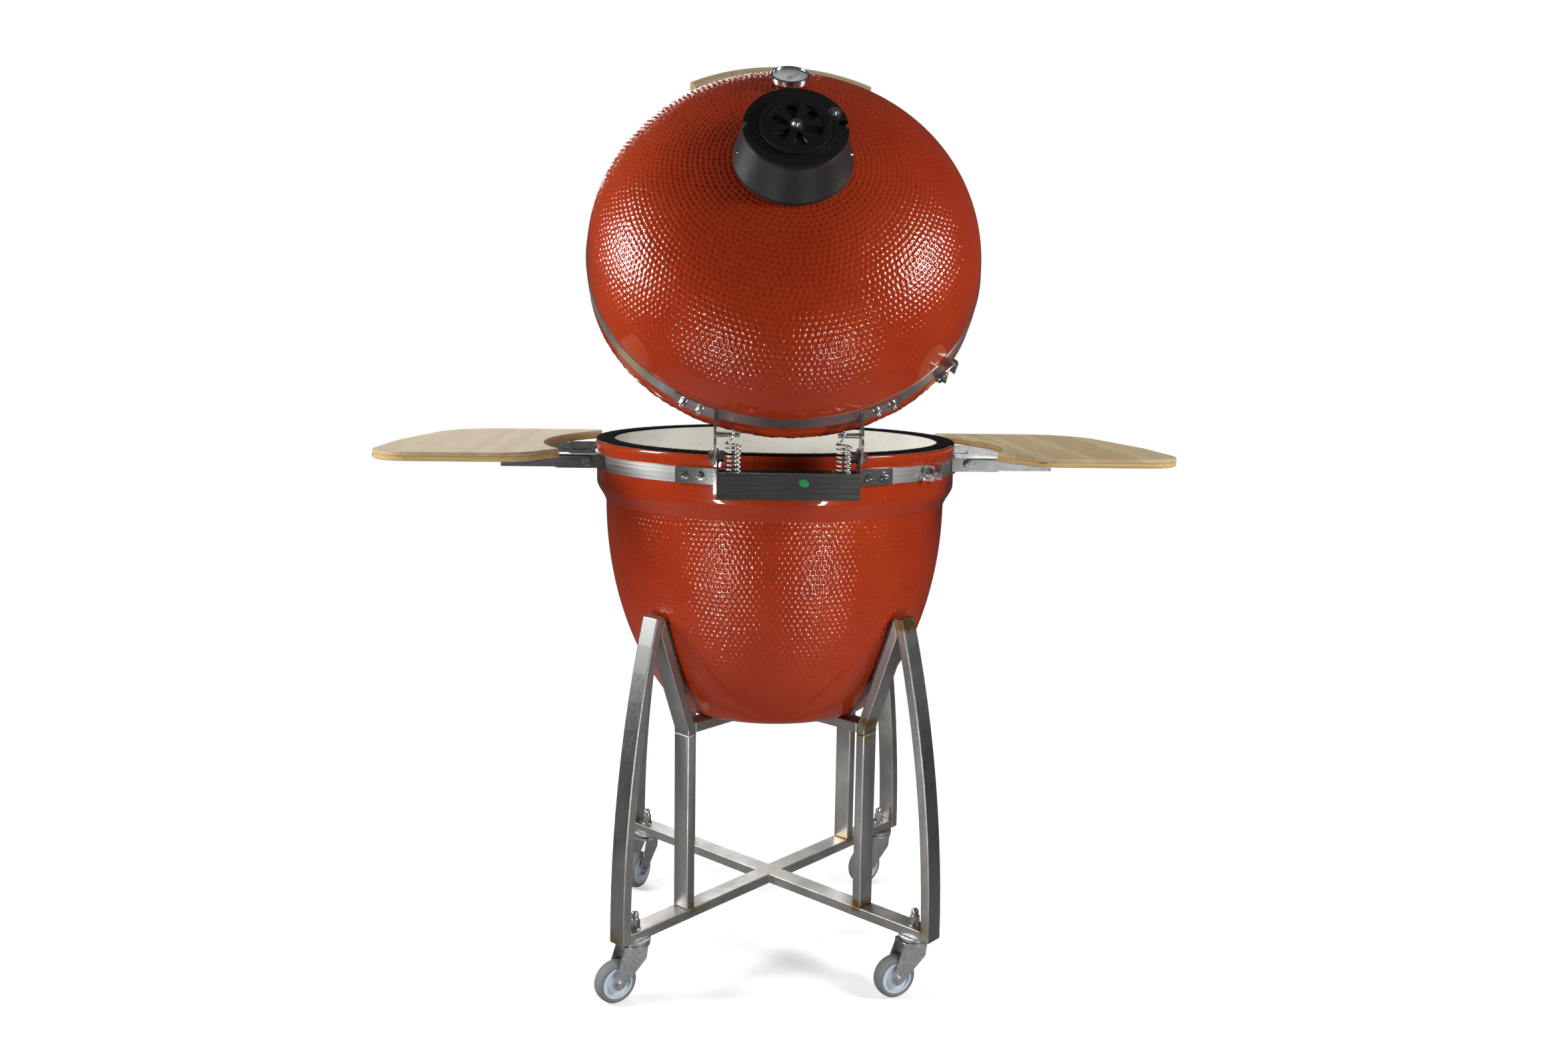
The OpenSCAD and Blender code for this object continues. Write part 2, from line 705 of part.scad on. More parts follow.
module shelf() {
    translate([0, 0, shelf_low]) linear_extrude(shelf_t) shelf_outline();
}

module shelf_left() {
    color(bamboo) shelf();
}

module shelf_right() {
    color(bamboo) mirror([1, 0, 0]) shelf();
}

// The two angle bars that carry a shelf.
module shelf_arms() {
    bar_end = 402;
    for (side = [-1, 1]) difference() {
        union() {
            translate([0, side * (arm_y + plate_t + 0.4) + (side > 0 ? 0 : -plate_t), 0]) {
                translate([fold_x, plate_t, fold_z]) rotate([90, 0, 0]) cylinder(r = 8, h = plate_t, $fn = 48);
                translate([fold_x, 0, fold_z - 8]) cube([bar_end - fold_x, plate_t, 16 - 0.1]);
            }
            translate([358, side > 0 ? arm_y + plate_t + 0.4 : -arm_y - plate_t - 24, shelf_low - 3])
                cube([bar_end - 358, 24 - 0.4, 3]);
        }
        translate([fold_x, 0, fold_z]) rotate([90, 0, 0])
            cylinder(r = 4.05, h = 2 * arm_y + 40, center = true, $fn = 48);
    }
}

module shelf_arms_left() {
    color(steel) shelf_arms();
}

module shelf_arms_right() {
    color(steel) mirror([1, 0, 0]) shelf_arms();
}

// Plates on the lower band, each with a slot and a round end.
module shelf_brackets() {
    end_x = 320;
    color(steel) both_sides() for (side = [-1, 1]) {
        difference() {
            translate([0, side * arm_y + (side > 0 ? plate_t : 0), 0]) rotate([90, 0, 0])
                linear_extrude(plate_t) difference() {
                    union() {
                        translate([256, fold_z - 10]) square([end_x - 256, 20]);
                        translate([end_x, fold_z]) circle(r = 10, $fn = 48);
                    }
                    hull() {
                        translate([296, fold_z]) circle(r = 3.6, $fn = 32);
                        translate([316, fold_z]) circle(r = 3.6, $fn = 32);
                    }
                }
            translate([fold_x, 0, fold_z]) rotate([90, 0, 0])
                cylinder(r = 4.05, h = 2 * arm_y + 40, center = true, $fn = 48);
        }
        ring_part(flange_out, band_out + 0.2, low_band_z, band_h, side > 0 ? 15.5 : -21.6, side > 0 ? 21.6 : -15.5);
    }
}

module shelf_bolts() {
    color(chrome) both_sides() for (side = [-1, 1]) {
        translate([fold_x, side * (arm_y - 0.15), fold_z]) rotate([side * 90, 0, 0]) {
            translate([0, 0, -2 * plate_t - 5]) cylinder(r = 4, h = 2 * plate_t + 6, $fn = 48);
            hex_head(10, 4);
            translate([0, 0, -2 * plate_t - 0.9]) rotate([180, 0, 0]) hex_head(10, 4);
        }
        outward(side * 17.6, flange_out + 0.1, low_band_z + band_h / 2) hex_head(9, 4.5);
    }
}

// ---- Stand ----
frame_angles = [45, 135, 225, 315];
cross_top = cross_z + tube_t;
post_in = post_r - tube_t;
cradle_top = cradle_z + tube_t;
lean = 19.7;
pad_t = 3;
// Inner face of a support: radius at the top of the leg
support_in = 246.5;

function leg_out(z) = leg_r - (leg_bend - sqrt(leg_bend * leg_bend - pow(z - cross_z, 2)));
function support_r(z) = support_in - (leg_top - z) * tan(lean);

// Stands a flat outline, radius by height, across each of the four frames.
module each_frame(width) {
    for (a = frame_angles) rotate([0, 0, a]) rotate([90, 0, 0])
        translate([0, 0, -width / 2]) linear_extrude(width) children();
}

module bottom_cross() {
    half = leg_out(cross_z) - tube_t - 0.15;
    color(steel) difference() {
        union() for (a = [45, 135]) rotate([0, 0, a]) translate([-half, -tube_w / 2, cross_z])
            cube([2 * half, tube_w, tube_t]);
        for (a = frame_angles) rotate([0, 0, a]) translate([stem_xy * sqrt(2), 0, cross_z - 1])
            cylinder(r = 5.2, h = tube_t + 2, $fn = 48);
    }
}

module cradle_cross() {
    color(steel) for (a = [45, 135]) rotate([0, 0, a]) translate([-post_r + tube_t, -tube_w / 2, cradle_z])
        cube([2 * (post_r - tube_t), tube_w, tube_t]);
}

module stand_legs() {
    steps = 12;
    heights = [for (i = [0 : steps]) cross_z + (leg_top - cross_z) * i / steps];
    color(steel) each_frame(tube_w) polygon(concat(
        [for (z = heights) [leg_out(z), z]],
        [for (i = [steps : -1 : 0]) [leg_out(heights[i]) - tube_t, heights[i]]]));
}

module stand_posts() {
    color(steel) each_frame(tube_w) translate([post_in, cross_top]) square([tube_t, cradle_z - cross_top - 2]);
}

module stand_supports() {
    thick = tube_t / cos(lean);
    color(steel) each_frame(tube_w) difference() {
        polygon([[support_r(leg_top), leg_top], [support_r(cradle_top), cradle_top],
            [post_in, cradle_top], [post_in, cradle_z - 2], [post_r, cradle_z - 2],
            [post_r, cradle_z + 6], [support_r(leg_top) + thick, leg_top]]);
        polygon([for (z = [cradle_top : 15 : leg_top + 20]) [leg_out(z) - tube_t - 0.2, z],
            [leg_r, leg_top + 20], [leg_r, cradle_top]]);
    }
}

module felt_pads() {
    z_low = 440;
    color([0.28, 0.30, 0.32]) each_frame(tube_w - 2) {
        polygon([[support_r(z_low), z_low], [support_r(leg_top - 3), leg_top - 3],
            [support_r(leg_top - 3) - pad_t, leg_top - 3], [support_r(z_low) - pad_t, z_low]]);
        translate([40, cradle_top]) square([100, foot_z - cradle_top]);
    }
}

module at_stems() {
    for (sx = [-1, 1]) for (sy = [-1, 1]) translate([sx * stem_xy, sy * stem_xy, 0]) children();
}

module cap_nuts() {
    color(chrome) at_stems() difference() {
        translate([0, 0, cross_top]) {
            cylinder(r = 9, h = 1.4, $fn = 32);
            cylinder(r = 7.6, h = 8, $fn = 6);
            translate([0, 0, 8 - eps]) cylinder(r = 7.4, h = 6, $fn = 6);
            translate([0, 0, 14 - eps]) cylinder(r = 5.6, h = 6, $fn = 32);
            translate([0, 0, 20 - eps]) sphere(r = 5.6, $fn = 32);
        }
        translate([0, 0, cross_z]) cylinder(r = 4.9, h = tube_t + 16, $fn = 32);
    }
}

// ---- Casters ----
disc_t = 4;
fork_top = cross_z - disc_t - 1.5;
// Trailing direction of each caster, from +X towards +Y
trail_a = [30, 20, 60, 35];
corner_of = [[1, 1], [-1, 1], [1, -1], [-1, -1]];
cheek_x = wheel_w / 2 + 1.2;
cheek_t = 2.4;

module at_caster(i) {
    translate([corner_of[i][0] * stem_xy, corner_of[i][1] * stem_xy, 0]) rotate([0, 0, trail_a[i]]) children();
}

module caster_stems() {
    color(chrome) at_stems() {
        translate([0, 0, cross_z - disc_t]) cylinder(r = 23, h = disc_t);
        translate([0, 0, fork_top - 8]) cylinder(r = 4.85, h = cross_top + 14 - fork_top + 8, $fn = 48);
    }
}

module caster_fork(i) {
    color(chrome) at_caster(i) {
        difference() {
            union() {
                translate([0, 0, fork_top - 4]) cylinder(r = 22, h = 4);
                translate([0, -cheek_x - cheek_t, fork_top - 4]) cube([24, 2 * (cheek_x + cheek_t), 4]);
                for (side = [-1, 1]) translate([0, side > 0 ? cheek_x + cheek_t : -cheek_x, 0]) rotate([90, 0, 0])
                    linear_extrude(cheek_t) hull() {
                        translate([trail, wheel_r]) circle(r = 9, $fn = 32);
                        translate([-14, fork_top - 8]) square([36, 8]);
                        translate([-8, fork_top - 22]) circle(r = 4, $fn = 32);
                    }
            }
            translate([0, 0, fork_top - 20]) cylinder(r = 4.92, h = 40, $fn = 48);
        }
        translate([trail, 0, wheel_r]) rotate([90, 0, 0]) {
            cylinder(r = 3.95, h = 2 * cheek_x + 2 * cheek_t + 6, center = true, $fn = 48);
            for (turn = [0, 180]) rotate([turn, 0, 0]) translate([0, 0, cheek_x + cheek_t]) hex_head(8, 3);
        }
    }
}

module at_wheel(i) {
    at_caster(i) translate([trail, 0, wheel_r]) rotate([90, 0, 0]) children();
}

module caster_hub(i) {
    rim = wheel_r - 8;
    half = wheel_w / 2;
    color([0.80, 0.85, 0.90]) at_wheel(i) rotate_extrude($fn = 96) polygon([[4, -half], [9, -half],
        [9.5, -half + 4], [rim - 3, -half + 4], [rim - 3, -half + 1], [rim, -half + 1],
        [rim, half - 1], [rim - 3, half - 1], [rim - 3, half - 4], [9.5, half - 4], [9, half], [4, half]]);
}

module caster_tyre(i) {
    rim = wheel_r - 8;
    half = wheel_w / 2;
    color(tyre_grey) at_wheel(i) rotate_extrude($fn = 120) polygon([[rim, -half + 1], [rim + 3, -half],
        [wheel_r - 3, -half + 1], [wheel_r - 0.8, -half + 4], [wheel_r, -half + 8], [wheel_r, half - 8],
        [wheel_r - 0.8, half - 4], [wheel_r - 3, half - 1], [rim + 3, half], [rim, half - 1]]);
}

base_bowl();
dome_lid();
fire_box();
fire_ring();
charcoal_grate();
cooking_grid();
lower_gasket();
upper_gasket();
lower_band();
upper_band();
lower_band_bolts();
upper_band_bolts();
hinge_channel();
hinge_arm_left();
hinge_arm_right();
pivot_bolts();
spring_left();
spring_right();
vent_collar();
vent_screws();
vent_cap();
daisy_wheel();
daisy_rivet();
thermometer_case();
thermometer_dial();
thermometer_pointer();
thermometer_glass();
thermometer_stem();
handle();
handle_brackets();
shelf_left();
shelf_right();
shelf_arms_left();
shelf_arms_right();
shelf_brackets();
shelf_bolts();
draft_frame();
draft_door();
draft_screen();
bottom_cross();
cradle_cross();
stand_legs();
stand_posts();
stand_supports();
felt_pads();
cap_nuts();
caster_stems();
caster_fork(0);  // caster_fork_1
caster_fork(1);  // caster_fork_2
caster_fork(2);  // caster_fork_3
caster_fork(3);  // caster_fork_4
caster_hub(0);  // caster_hub_1
caster_hub(1);  // caster_hub_2
caster_hub(2);  // caster_hub_3
caster_hub(3);  // caster_hub_4
caster_tyre(0);  // caster_tyre_1
caster_tyre(1);  // caster_tyre_2
caster_tyre(2);  // caster_tyre_3
caster_tyre(3);  // caster_tyre_4
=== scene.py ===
"""Looks of a kamado ceramic grill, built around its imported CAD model.

All lengths are in metres, in the frame of the CAD model: the origin is on the floor under the
bowl, +Z is up, -Y is the front and +Y is the hinge side. The lid stands open at rest.
"""

import json
import math
import random

import bpy
import numpy as np
from mathutils import Matrix, Vector


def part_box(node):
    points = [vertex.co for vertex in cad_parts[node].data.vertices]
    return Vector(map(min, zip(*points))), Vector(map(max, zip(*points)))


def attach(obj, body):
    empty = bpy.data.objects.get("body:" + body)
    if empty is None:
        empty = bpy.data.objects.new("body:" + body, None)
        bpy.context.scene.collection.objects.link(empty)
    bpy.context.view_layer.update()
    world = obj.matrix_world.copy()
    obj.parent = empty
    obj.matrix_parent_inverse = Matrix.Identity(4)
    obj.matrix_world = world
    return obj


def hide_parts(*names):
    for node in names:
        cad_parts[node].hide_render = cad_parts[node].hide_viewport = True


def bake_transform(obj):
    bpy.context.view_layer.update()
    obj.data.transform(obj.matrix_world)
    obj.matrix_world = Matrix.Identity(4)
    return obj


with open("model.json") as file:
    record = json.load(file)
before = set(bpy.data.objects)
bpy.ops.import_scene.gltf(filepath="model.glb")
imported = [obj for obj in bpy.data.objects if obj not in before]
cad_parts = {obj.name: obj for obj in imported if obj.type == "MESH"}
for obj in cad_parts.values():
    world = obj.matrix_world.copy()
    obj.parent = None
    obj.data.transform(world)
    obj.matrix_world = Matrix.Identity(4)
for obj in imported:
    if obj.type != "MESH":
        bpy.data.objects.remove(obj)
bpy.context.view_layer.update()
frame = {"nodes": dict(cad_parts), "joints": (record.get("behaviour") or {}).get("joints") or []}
NODES = frame["nodes"]
JOINTS = {joint["name"]: joint for joint in frame["joints"]}
MM = 0.001

# The open lid is the closed lid turned about the hinge.
PIVOT = Vector(JOINTS["lid_hinge"]["pos_m"])
OPEN = math.radians(JOINTS["lid_hinge"]["range_deg"][1])
LID = Matrix.Translation(PIVOT) @ Matrix.Rotation(-OPEN, 4, "X") @ Matrix.Translation(-PIVOT)


def new_object(name, data):
    obj = bpy.data.objects.new(name, data)
    bpy.context.scene.collection.objects.link(obj)
    return obj


# ---------------------------------------------------------------- camera
CAMERA_AT = Vector((0.1113, 2.0316, 0.9768))
CAMERA_YAW, CAMERA_PITCH, CAMERA_ROLL = -0.0621, 0.1494, 0.0168
CAMERA_LENS, SENSOR = 30.46, 36.0


def make_camera():
    right = Vector((-math.cos(CAMERA_YAW), -math.sin(CAMERA_YAW), 0))
    ahead = Vector((math.sin(CAMERA_YAW), -math.cos(CAMERA_YAW), 0))
    up = Vector((0, 0, 1))
    down_tilt = ahead * math.cos(CAMERA_PITCH) - up * math.sin(CAMERA_PITCH)
    up_tilt = up * math.cos(CAMERA_PITCH) + ahead * math.sin(CAMERA_PITCH)
    x = right * math.cos(CAMERA_ROLL) + up_tilt * math.sin(CAMERA_ROLL)
    y = up_tilt * math.cos(CAMERA_ROLL) - right * math.sin(CAMERA_ROLL)
    turn = Matrix((x, y, -down_tilt)).transposed().to_4x4()
    data = bpy.data.cameras.new("camera")
    data.lens, data.sensor_width = CAMERA_LENS, SENSOR
    data.clip_start, data.clip_end = 0.05, 100
    camera = new_object("camera", data)
    camera.matrix_world = Matrix.Translation(CAMERA_AT) @ turn
    bpy.context.scene.camera = camera


make_camera()


# ---------------------------------------------------------------- material helper
class Look:
    """A material built from shader nodes. Node inputs take a value or another node's output."""

    def __init__(self, name, lid_frame=False, **sockets):
        self.mat = bpy.data.materials.new(name)
        self.mat.use_nodes = True
        tree = self.mat.node_tree
        self.nodes, self.links = tree.nodes, tree.links
        self.nodes.clear()
        self.out = self.nodes.new("ShaderNodeOutputMaterial")
        self.bsdf = self.nodes.new("ShaderNodeBsdfPrincipled")
        self.links.new(self.bsdf.outputs["BSDF"], self.out.inputs["Surface"])
        self.coords = self.nodes.new("ShaderNodeTexCoord").outputs["Object"]
        if lid_frame:
            place = self.add("Mapping", {"Vector": self.coords})
            back = LID.inverted()
            place.inputs["Location"].default_value = back.translation
            place.inputs["Rotation"].default_value = back.to_euler()
            self.coords = place.outputs[0]
        self.normal = None
        for key, value in sockets.items():
            self.bsdf.inputs[key.replace("_", " ")].default_value = value

    def put(self, socket, value):
        if isinstance(value, bpy.types.NodeSocket):
            self.links.new(value, socket)
        elif hasattr(value, "__len__") and socket.type == "RGBA" and len(value) == 3:
            socket.default_value = (*value, 1)
        else:
            socket.default_value = value

    def add(self, kind, inputs=None, **props):
        node = self.nodes.new("ShaderNode" + kind)
        for key, value in props.items():
            setattr(node, key, value)
        for key, value in (inputs or {}).items():
            self.put(node.inputs[key], value)
        return node

    def math(self, operation, *values):
        node = self.add("Math", operation=operation)
        for socket, value in zip(node.inputs, values):
            self.put(socket, value)
        return node.outputs[0]

    def stretch(self, scale, where=None):
        node = self.add("VectorMath", operation="MULTIPLY")
        self.put(node.inputs[0], where or self.coords)
        node.inputs[1].default_value = scale
        return node.outputs[0]

    def noise(self, scale, detail=3.0, rough=0.5, where=None, stretch=None, bend=0.0):
        where = self.stretch(stretch, where) if stretch else (where or self.coords)
        return self.add("TexNoise", {"Vector": where, "Scale": scale, "Detail": detail,
                                     "Roughness": rough, "Distortion": bend}).outputs["Fac"]

    def xyz(self):
        return self.add("SeparateXYZ", {0: self.coords}).outputs

    def hypot(self, a, b):
        squares = self.math("ADD", self.math("MULTIPLY", a, a), self.math("MULTIPLY", b, b))
        return self.math("SQRT", squares)

    def strip_tone(self, where, width):
        """A random number for each strip of the given width."""
        number = self.math("FLOOR", self.math("DIVIDE", where, width))
        return self.add("TexWhiteNoise", {"W": number}, noise_dimensions="1D").outputs["Value"]

    def range(self, value, low, high, to_low=0.0, to_high=1.0, smooth=False):
        kind = "SMOOTHSTEP" if smooth else "LINEAR"
        node = self.add("MapRange", {0: value, 1: low, 2: high, 3: to_low, 4: to_high},
                        interpolation_type=kind)
        return node.outputs[0]

    def ramp(self, fac, stops):
        node = self.add("ValToRGB", {"Fac": fac})
        points = node.color_ramp.elements
        while len(points) < len(stops):
            points.new(0.5)
        for point, (place, colour) in zip(points, stops):
            point.position, point.color = place, (*colour, 1)
        return node.outputs["Color"]

    def mix(self, fac, a, b, blend="MIX"):
        node = self.add("Mix", data_type="RGBA", blend_type=blend)
        self.put(node.inputs[0], fac)
        self.put(node.inputs[6], a)
        self.put(node.inputs[7], b)
        return node.outputs[2]

    def bump(self, height, distance, strength):
        node = self.add("Bump", {"Height": height, "Distance": distance, "Strength": strength})
        if self.normal is not None:
            self.put(node.inputs["Normal"], self.normal)
        self.normal = node.outputs[0]
        self.put(self.bsdf.inputs["Normal"], self.normal)

    def colour(self, value):
        self.put(self.bsdf.inputs["Base Color"], value)

    def rough(self, value):
        self.put(self.bsdf.inputs["Roughness"], value)


# ---------------------------------------------------------------- materials
def glaze():
    look = Look("red_glaze", Coat_Weight=0.8, Coat_Roughness=0.03, Coat_IOR=1.5,
                Specular_IOR_Level=0.08)
    cloud = look.noise(6, 4, 0.6)
    speck = look.noise(420, 2, 0.6)
    base = look.ramp(cloud, [(0.3, (0.31, 0.024, 0.005)), (0.7, (0.40, 0.040, 0.008))])
    dark = look.range(speck, 0.30, 0.42)
    look.colour(look.mix(dark, (0.20, 0.018, 0.006), base))
    look.rough(look.range(cloud, 0.2, 0.8, 0.22, 0.30))
    look.bump(look.noise(55, 3, 0.5), 0.0006, 0.25)
    return look.mat


def fire_clay(name, tint, grain):
    look = Look(name)
    cloud, pores = look.noise(9, 5, 0.65), look.noise(grain, 3, 0.7)
    pale = [c * 1.06 for c in tint]
    deep = [c * 0.82 for c in tint]
    base = look.ramp(cloud, [(0.25, deep), (0.7, pale)])
    look.colour(look.mix(look.range(pores, 0.28, 0.4), [c * 0.55 for c in tint], base))
    look.rough(look.range(cloud, 0.3, 0.7, 0.72, 0.9))
    look.bump(pores, 0.0008, 0.6)
    look.bump(cloud, 0.003, 0.3)
    return look.mat


def felt(name, dark, light, sheen):
    look = Look(name, Sheen_Weight=sheen, Sheen_Roughness=0.5, Roughness=0.95,
                Specular_IOR_Level=0.03)
    fibre = look.noise(900, 4, 0.7, bend=1.5)
    clump = look.noise(160, 3, 0.6)
    look.colour(look.ramp(look.math("MULTIPLY", fibre, clump), [(0.12, dark), (0.42, light)]))
    look.bump(fibre, 0.0008, 0.9)
    look.bump(clump, 0.0015, 0.7)
    return look.mat


def steel(name, tone, along, rough=0.26, lid_frame=False, weld_tint_and_painted_shade=False, blotch=0.12, warm=0.0):
    """Brushed steel. along is the stretch of the brush marks: small where they run, large across."""
    look = Look(name, lid_frame=lid_frame, Metallic=1.0)
    marks = look.noise(1.0, 5, 0.65, stretch=along)
    cloud = look.noise(11, 4, 0.6)
    bright = (tone, tone * (0.99 - warm), tone * (0.965 - 2 * warm))
    dull = [c * (1 - 2.2 * blotch) for c in bright]
    base = look.mix(look.range(marks, 0.3, 0.7), [c * 0.86 for c in bright], bright)
    base = look.mix(look.range(cloud, 0.35, 0.65, smooth=True), dull, base)
    if weld_tint_and_painted_shade:
        # real heat tint round the welds, laid over painted shade on the legs' outer faces
        base = heat_tint(look, painted_dark_outside(look, base))
    look.colour(base)
    spread = look.range(marks, 0.25, 0.75, rough * 0.75, rough * 1.35)
    haze = look.range(cloud, 0.3, 0.7, 0.06, -0.02)
    look.rough(look.math("ADD", spread, haze))
    look.bump(marks, 0.00012, 0.5)
    return look.mat


# Outer face of the curved legs: radius at the foot, height of the foot, radius of the curve
LEG_R, LEG_FOOT_Z, LEG_BEND = 0.325, 0.090, 1.760
# Welds of the stand, as distance from its axis and height, with the reach of the heat
WELDS = [(0.318, 0.100, 0.030), (0.190, 0.108, 0.020), (0.190, 0.376, 0.024),
         (0.262, 0.556, 0.026), (0.0, 0.098, 0.040), (0.200, 0.392, 0.022)]


def painted_dark_outside(look, base):
    """Darkens the outer faces of the curved legs: painted shade for the dark surroundings they reflect.
    """
    x, y, z = look.xyz()
    spread = look.math("ADD", look.math("ABSOLUTE", x), look.math("ABSOLUTE", y))
    radius = look.math("MULTIPLY", spread, math.sqrt(0.5))
    up = look.math("SUBTRACT", z, LEG_FOOT_Z)
    fall = look.math("SQRT", look.math("SUBTRACT", LEG_BEND ** 2, look.math("MULTIPLY", up, up)))
    outer = look.math("ADD", fall, LEG_R - LEG_BEND - 0.0007)
    # painted shade: a flat dark grey on the legs' outer faces
    return look.mix(look.math("GREATER_THAN", radius, outer), base, (0.27, 0.27, 0.26))


def heat_tint(look, base):
    """Patches of straw and brown round the welds."""
    x, y, z = look.xyz()
    radius = look.hypot(x, y)
    heat = None
    for r, h, reach in WELDS:
        point = look.add("CombineXYZ", {0: look.math("SUBTRACT", radius, r),
                                        1: look.math("SUBTRACT", z, h)})
        far = look.add("VectorMath", {0: point.outputs[0]}, operation="LENGTH").outputs["Value"]
        near = look.range(far, reach * 0.2, reach * 0.8, 0.75, 0.0, smooth=True)
        heat = near if heat is None else look.math("MAXIMUM", heat, near)
    patchy = look.range(look.noise(9, 3, 0.5), 0.47, 0.60, smooth=True)
    heat = look.math("MULTIPLY", heat, patchy)
    colours = look.ramp(heat, [(0.0, (1, 1, 1)), (0.3, (0.93, 0.84, 0.62)),
                               (0.62, (0.66, 0.44, 0.20)), (1.0, (0.34, 0.19, 0.12))])
    return look.mix(1.0, base, colours, "MULTIPLY")


def chrome(name, tone, rough, cool=0.0):
    look = Look(name, Metallic=1.0)
    wear, cloud = look.noise(260, 3, 0.6), look.noise(24, 3, 0.5)
    bright = (tone, tone * (1 + cool * 0.5), tone * (1 + cool))
    look.colour(look.mix(look.range(cloud, 0.35, 0.65), [c * 0.82 for c in bright], bright))
    look.rough(look.range(wear, 0.3, 0.7, rough * 0.6, rough * 1.5))
    look.bump(cloud, 0.00005, 0.15)
    return look.mat


def cast(name, tone, metal, rough):
    look = Look(name, Metallic=metal)
    grain, cloud = look.noise(700, 3, 0.6), look.noise(14, 4, 0.6)
    look.colour(look.ramp(cloud, [(0.3, [tone * 0.8, tone * 0.82, tone * 0.86]),
                                  (0.7, [tone * 1.15, tone * 1.17, tone * 1.22])]))
    look.rough(look.range(grain, 0.3, 0.7, rough * 0.8, rough * 1.2))
    look.bump(grain, 0.0005, 0.55)
    return look.mat


def bamboo_colours(look, strip, fibre, joint):
    """Strips of different tones with fine fibres and dark growth rings."""
    base = look.ramp(strip, [(0.0, (0.46, 0.36, 0.22)), (0.35, (0.54, 0.44, 0.28)),
                             (0.7, (0.60, 0.50, 0.33)), (1.0, (0.50, 0.39, 0.24))])
    base = look.mix(look.range(fibre, 0.35, 0.62), (0.42, 0.31, 0.17), base)
    return look.mix(look.math("MULTIPLY", joint, 0.55), base, (0.27, 0.15, 0.06))


BOARD_STRIP, BOARD_JOINTS = 0.021, 0.14      # width of a strip, distance between its joints
PLY_UNDER_TOP, PLY_OVER_BOTTOM = 0.0058, 0.0016


def bamboo_board():
    """Shelf board: strips along Y on the faces, a middle ply along X shown in the edge."""
    look = Look("bamboo_board", Specular_IOR_Level=0.12)
    x, y, z = look.xyz()
    low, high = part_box("shelf_left")
    strip = look.strip_tone(x, BOARD_STRIP)
    fibre = look.noise(1.0, 4, 0.6, stretch=(420, 9, 420))
    shift = look.math("ADD", y, look.math("MULTIPLY", strip, 0.35))
    ring = look.math("PINGPONG", shift, BOARD_JOINTS)
    joint = look.range(ring, 0.0, 0.0022, 1.0, 0.0)
    face = bamboo_colours(look, strip, fibre, joint)
    edge_fibre = look.noise(1.0, 4, 0.6, stretch=(9, 420, 500))
    knots = look.range(look.noise(1.0, 2, 0.5, stretch=(26, 26, 120)), 0.66, 0.74)
    ply = look.mix(look.range(edge_fibre, 0.35, 0.65), (0.46, 0.29, 0.11), (0.66, 0.46, 0.20))
    ply = look.mix(knots, ply, (0.22, 0.12, 0.05))
    in_ply = look.math("MULTIPLY", look.math("LESS_THAN", z, high.z - PLY_UNDER_TOP),
                       look.math("GREATER_THAN", z, low.z + PLY_OVER_BOTTOM))
    line = look.math("COMPARE", z, high.z - PLY_UNDER_TOP, 0.0004)
    base = look.mix(in_ply, face, ply)
    base = look.mix(line, base, (0.33, 0.20, 0.08))
    seam = look.math("PINGPONG", x, BOARD_STRIP / 2)
    seam_dark = look.range(seam, 0.0, 0.0005, 0.45, 0.0)
    on_face = look.math("SUBTRACT", 1.0, in_ply)
    base = look.mix(look.math("MULTIPLY", seam_dark, on_face), base, (0.30, 0.18, 0.08))
    look.colour(base)
    look.rough(look.range(fibre, 0.3, 0.7, 0.42, 0.58))
    look.bump(fibre, 0.0003, 0.5)
    return look.mat


HANDLE_ARC_Y, HANDLE_STRIP = 0.061, 0.0068   # place of the arc's centre, width of a strip


def bamboo_handle():
    """Handle: strips that follow its arc."""
    look = Look("bamboo_handle", lid_frame=True, Coat_Weight=0.15, Coat_Roughness=0.3)
    x, y, z = look.xyz()
    side = look.math("ADD", y, HANDLE_ARC_Y)
    arc = look.math("ARCTAN2", x, side)
    reach = look.hypot(x, side)
    wrapped = look.add("CombineXYZ", {0: arc, 1: reach, 2: z}).outputs[0]
    strip = look.strip_tone(reach, HANDLE_STRIP)
    fibre = look.noise(1.0, 4, 0.6, where=wrapped, stretch=(4, 420, 420))
    ring = look.math("PINGPONG", look.math("ADD", arc, look.math("MULTIPLY", strip, 1.3)), 0.5)
    joint = look.range(ring, 0.0, 0.008, 1.0, 0.0)
    look.colour(bamboo_colours(look, strip, fibre, joint))
    look.rough(look.range(fibre, 0.3, 0.7, 0.38, 0.55))
    look.bump(fibre, 0.0003, 0.5)
    return look.mat


def moulded(name, tone, rough, fade=0.85):
    look = Look(name)
    fine, cloud = look.noise(900, 2, 0.6), look.noise(30, 4, 0.6)
    look.colour(look.mix(look.range(cloud, 0.35, 0.65), [c * fade for c in tone], tone))
    look.rough(look.range(cloud, 0.3, 0.7, rough * 0.85, rough * 1.15))
    look.bump(fine, 0.0002, 0.5)
    return look.mat


def clear_glass():
    look = Look("gauge_glass", Roughness=0.02, IOR=1.45, Transmission_Weight=1.0)
    dust = look.noise(40, 3, 0.6)
    look.colour(look.mix(look.range(dust, 0.4, 0.7), (0.98, 0.99, 0.99), (0.93, 0.95, 0.95)))
    return look.mat


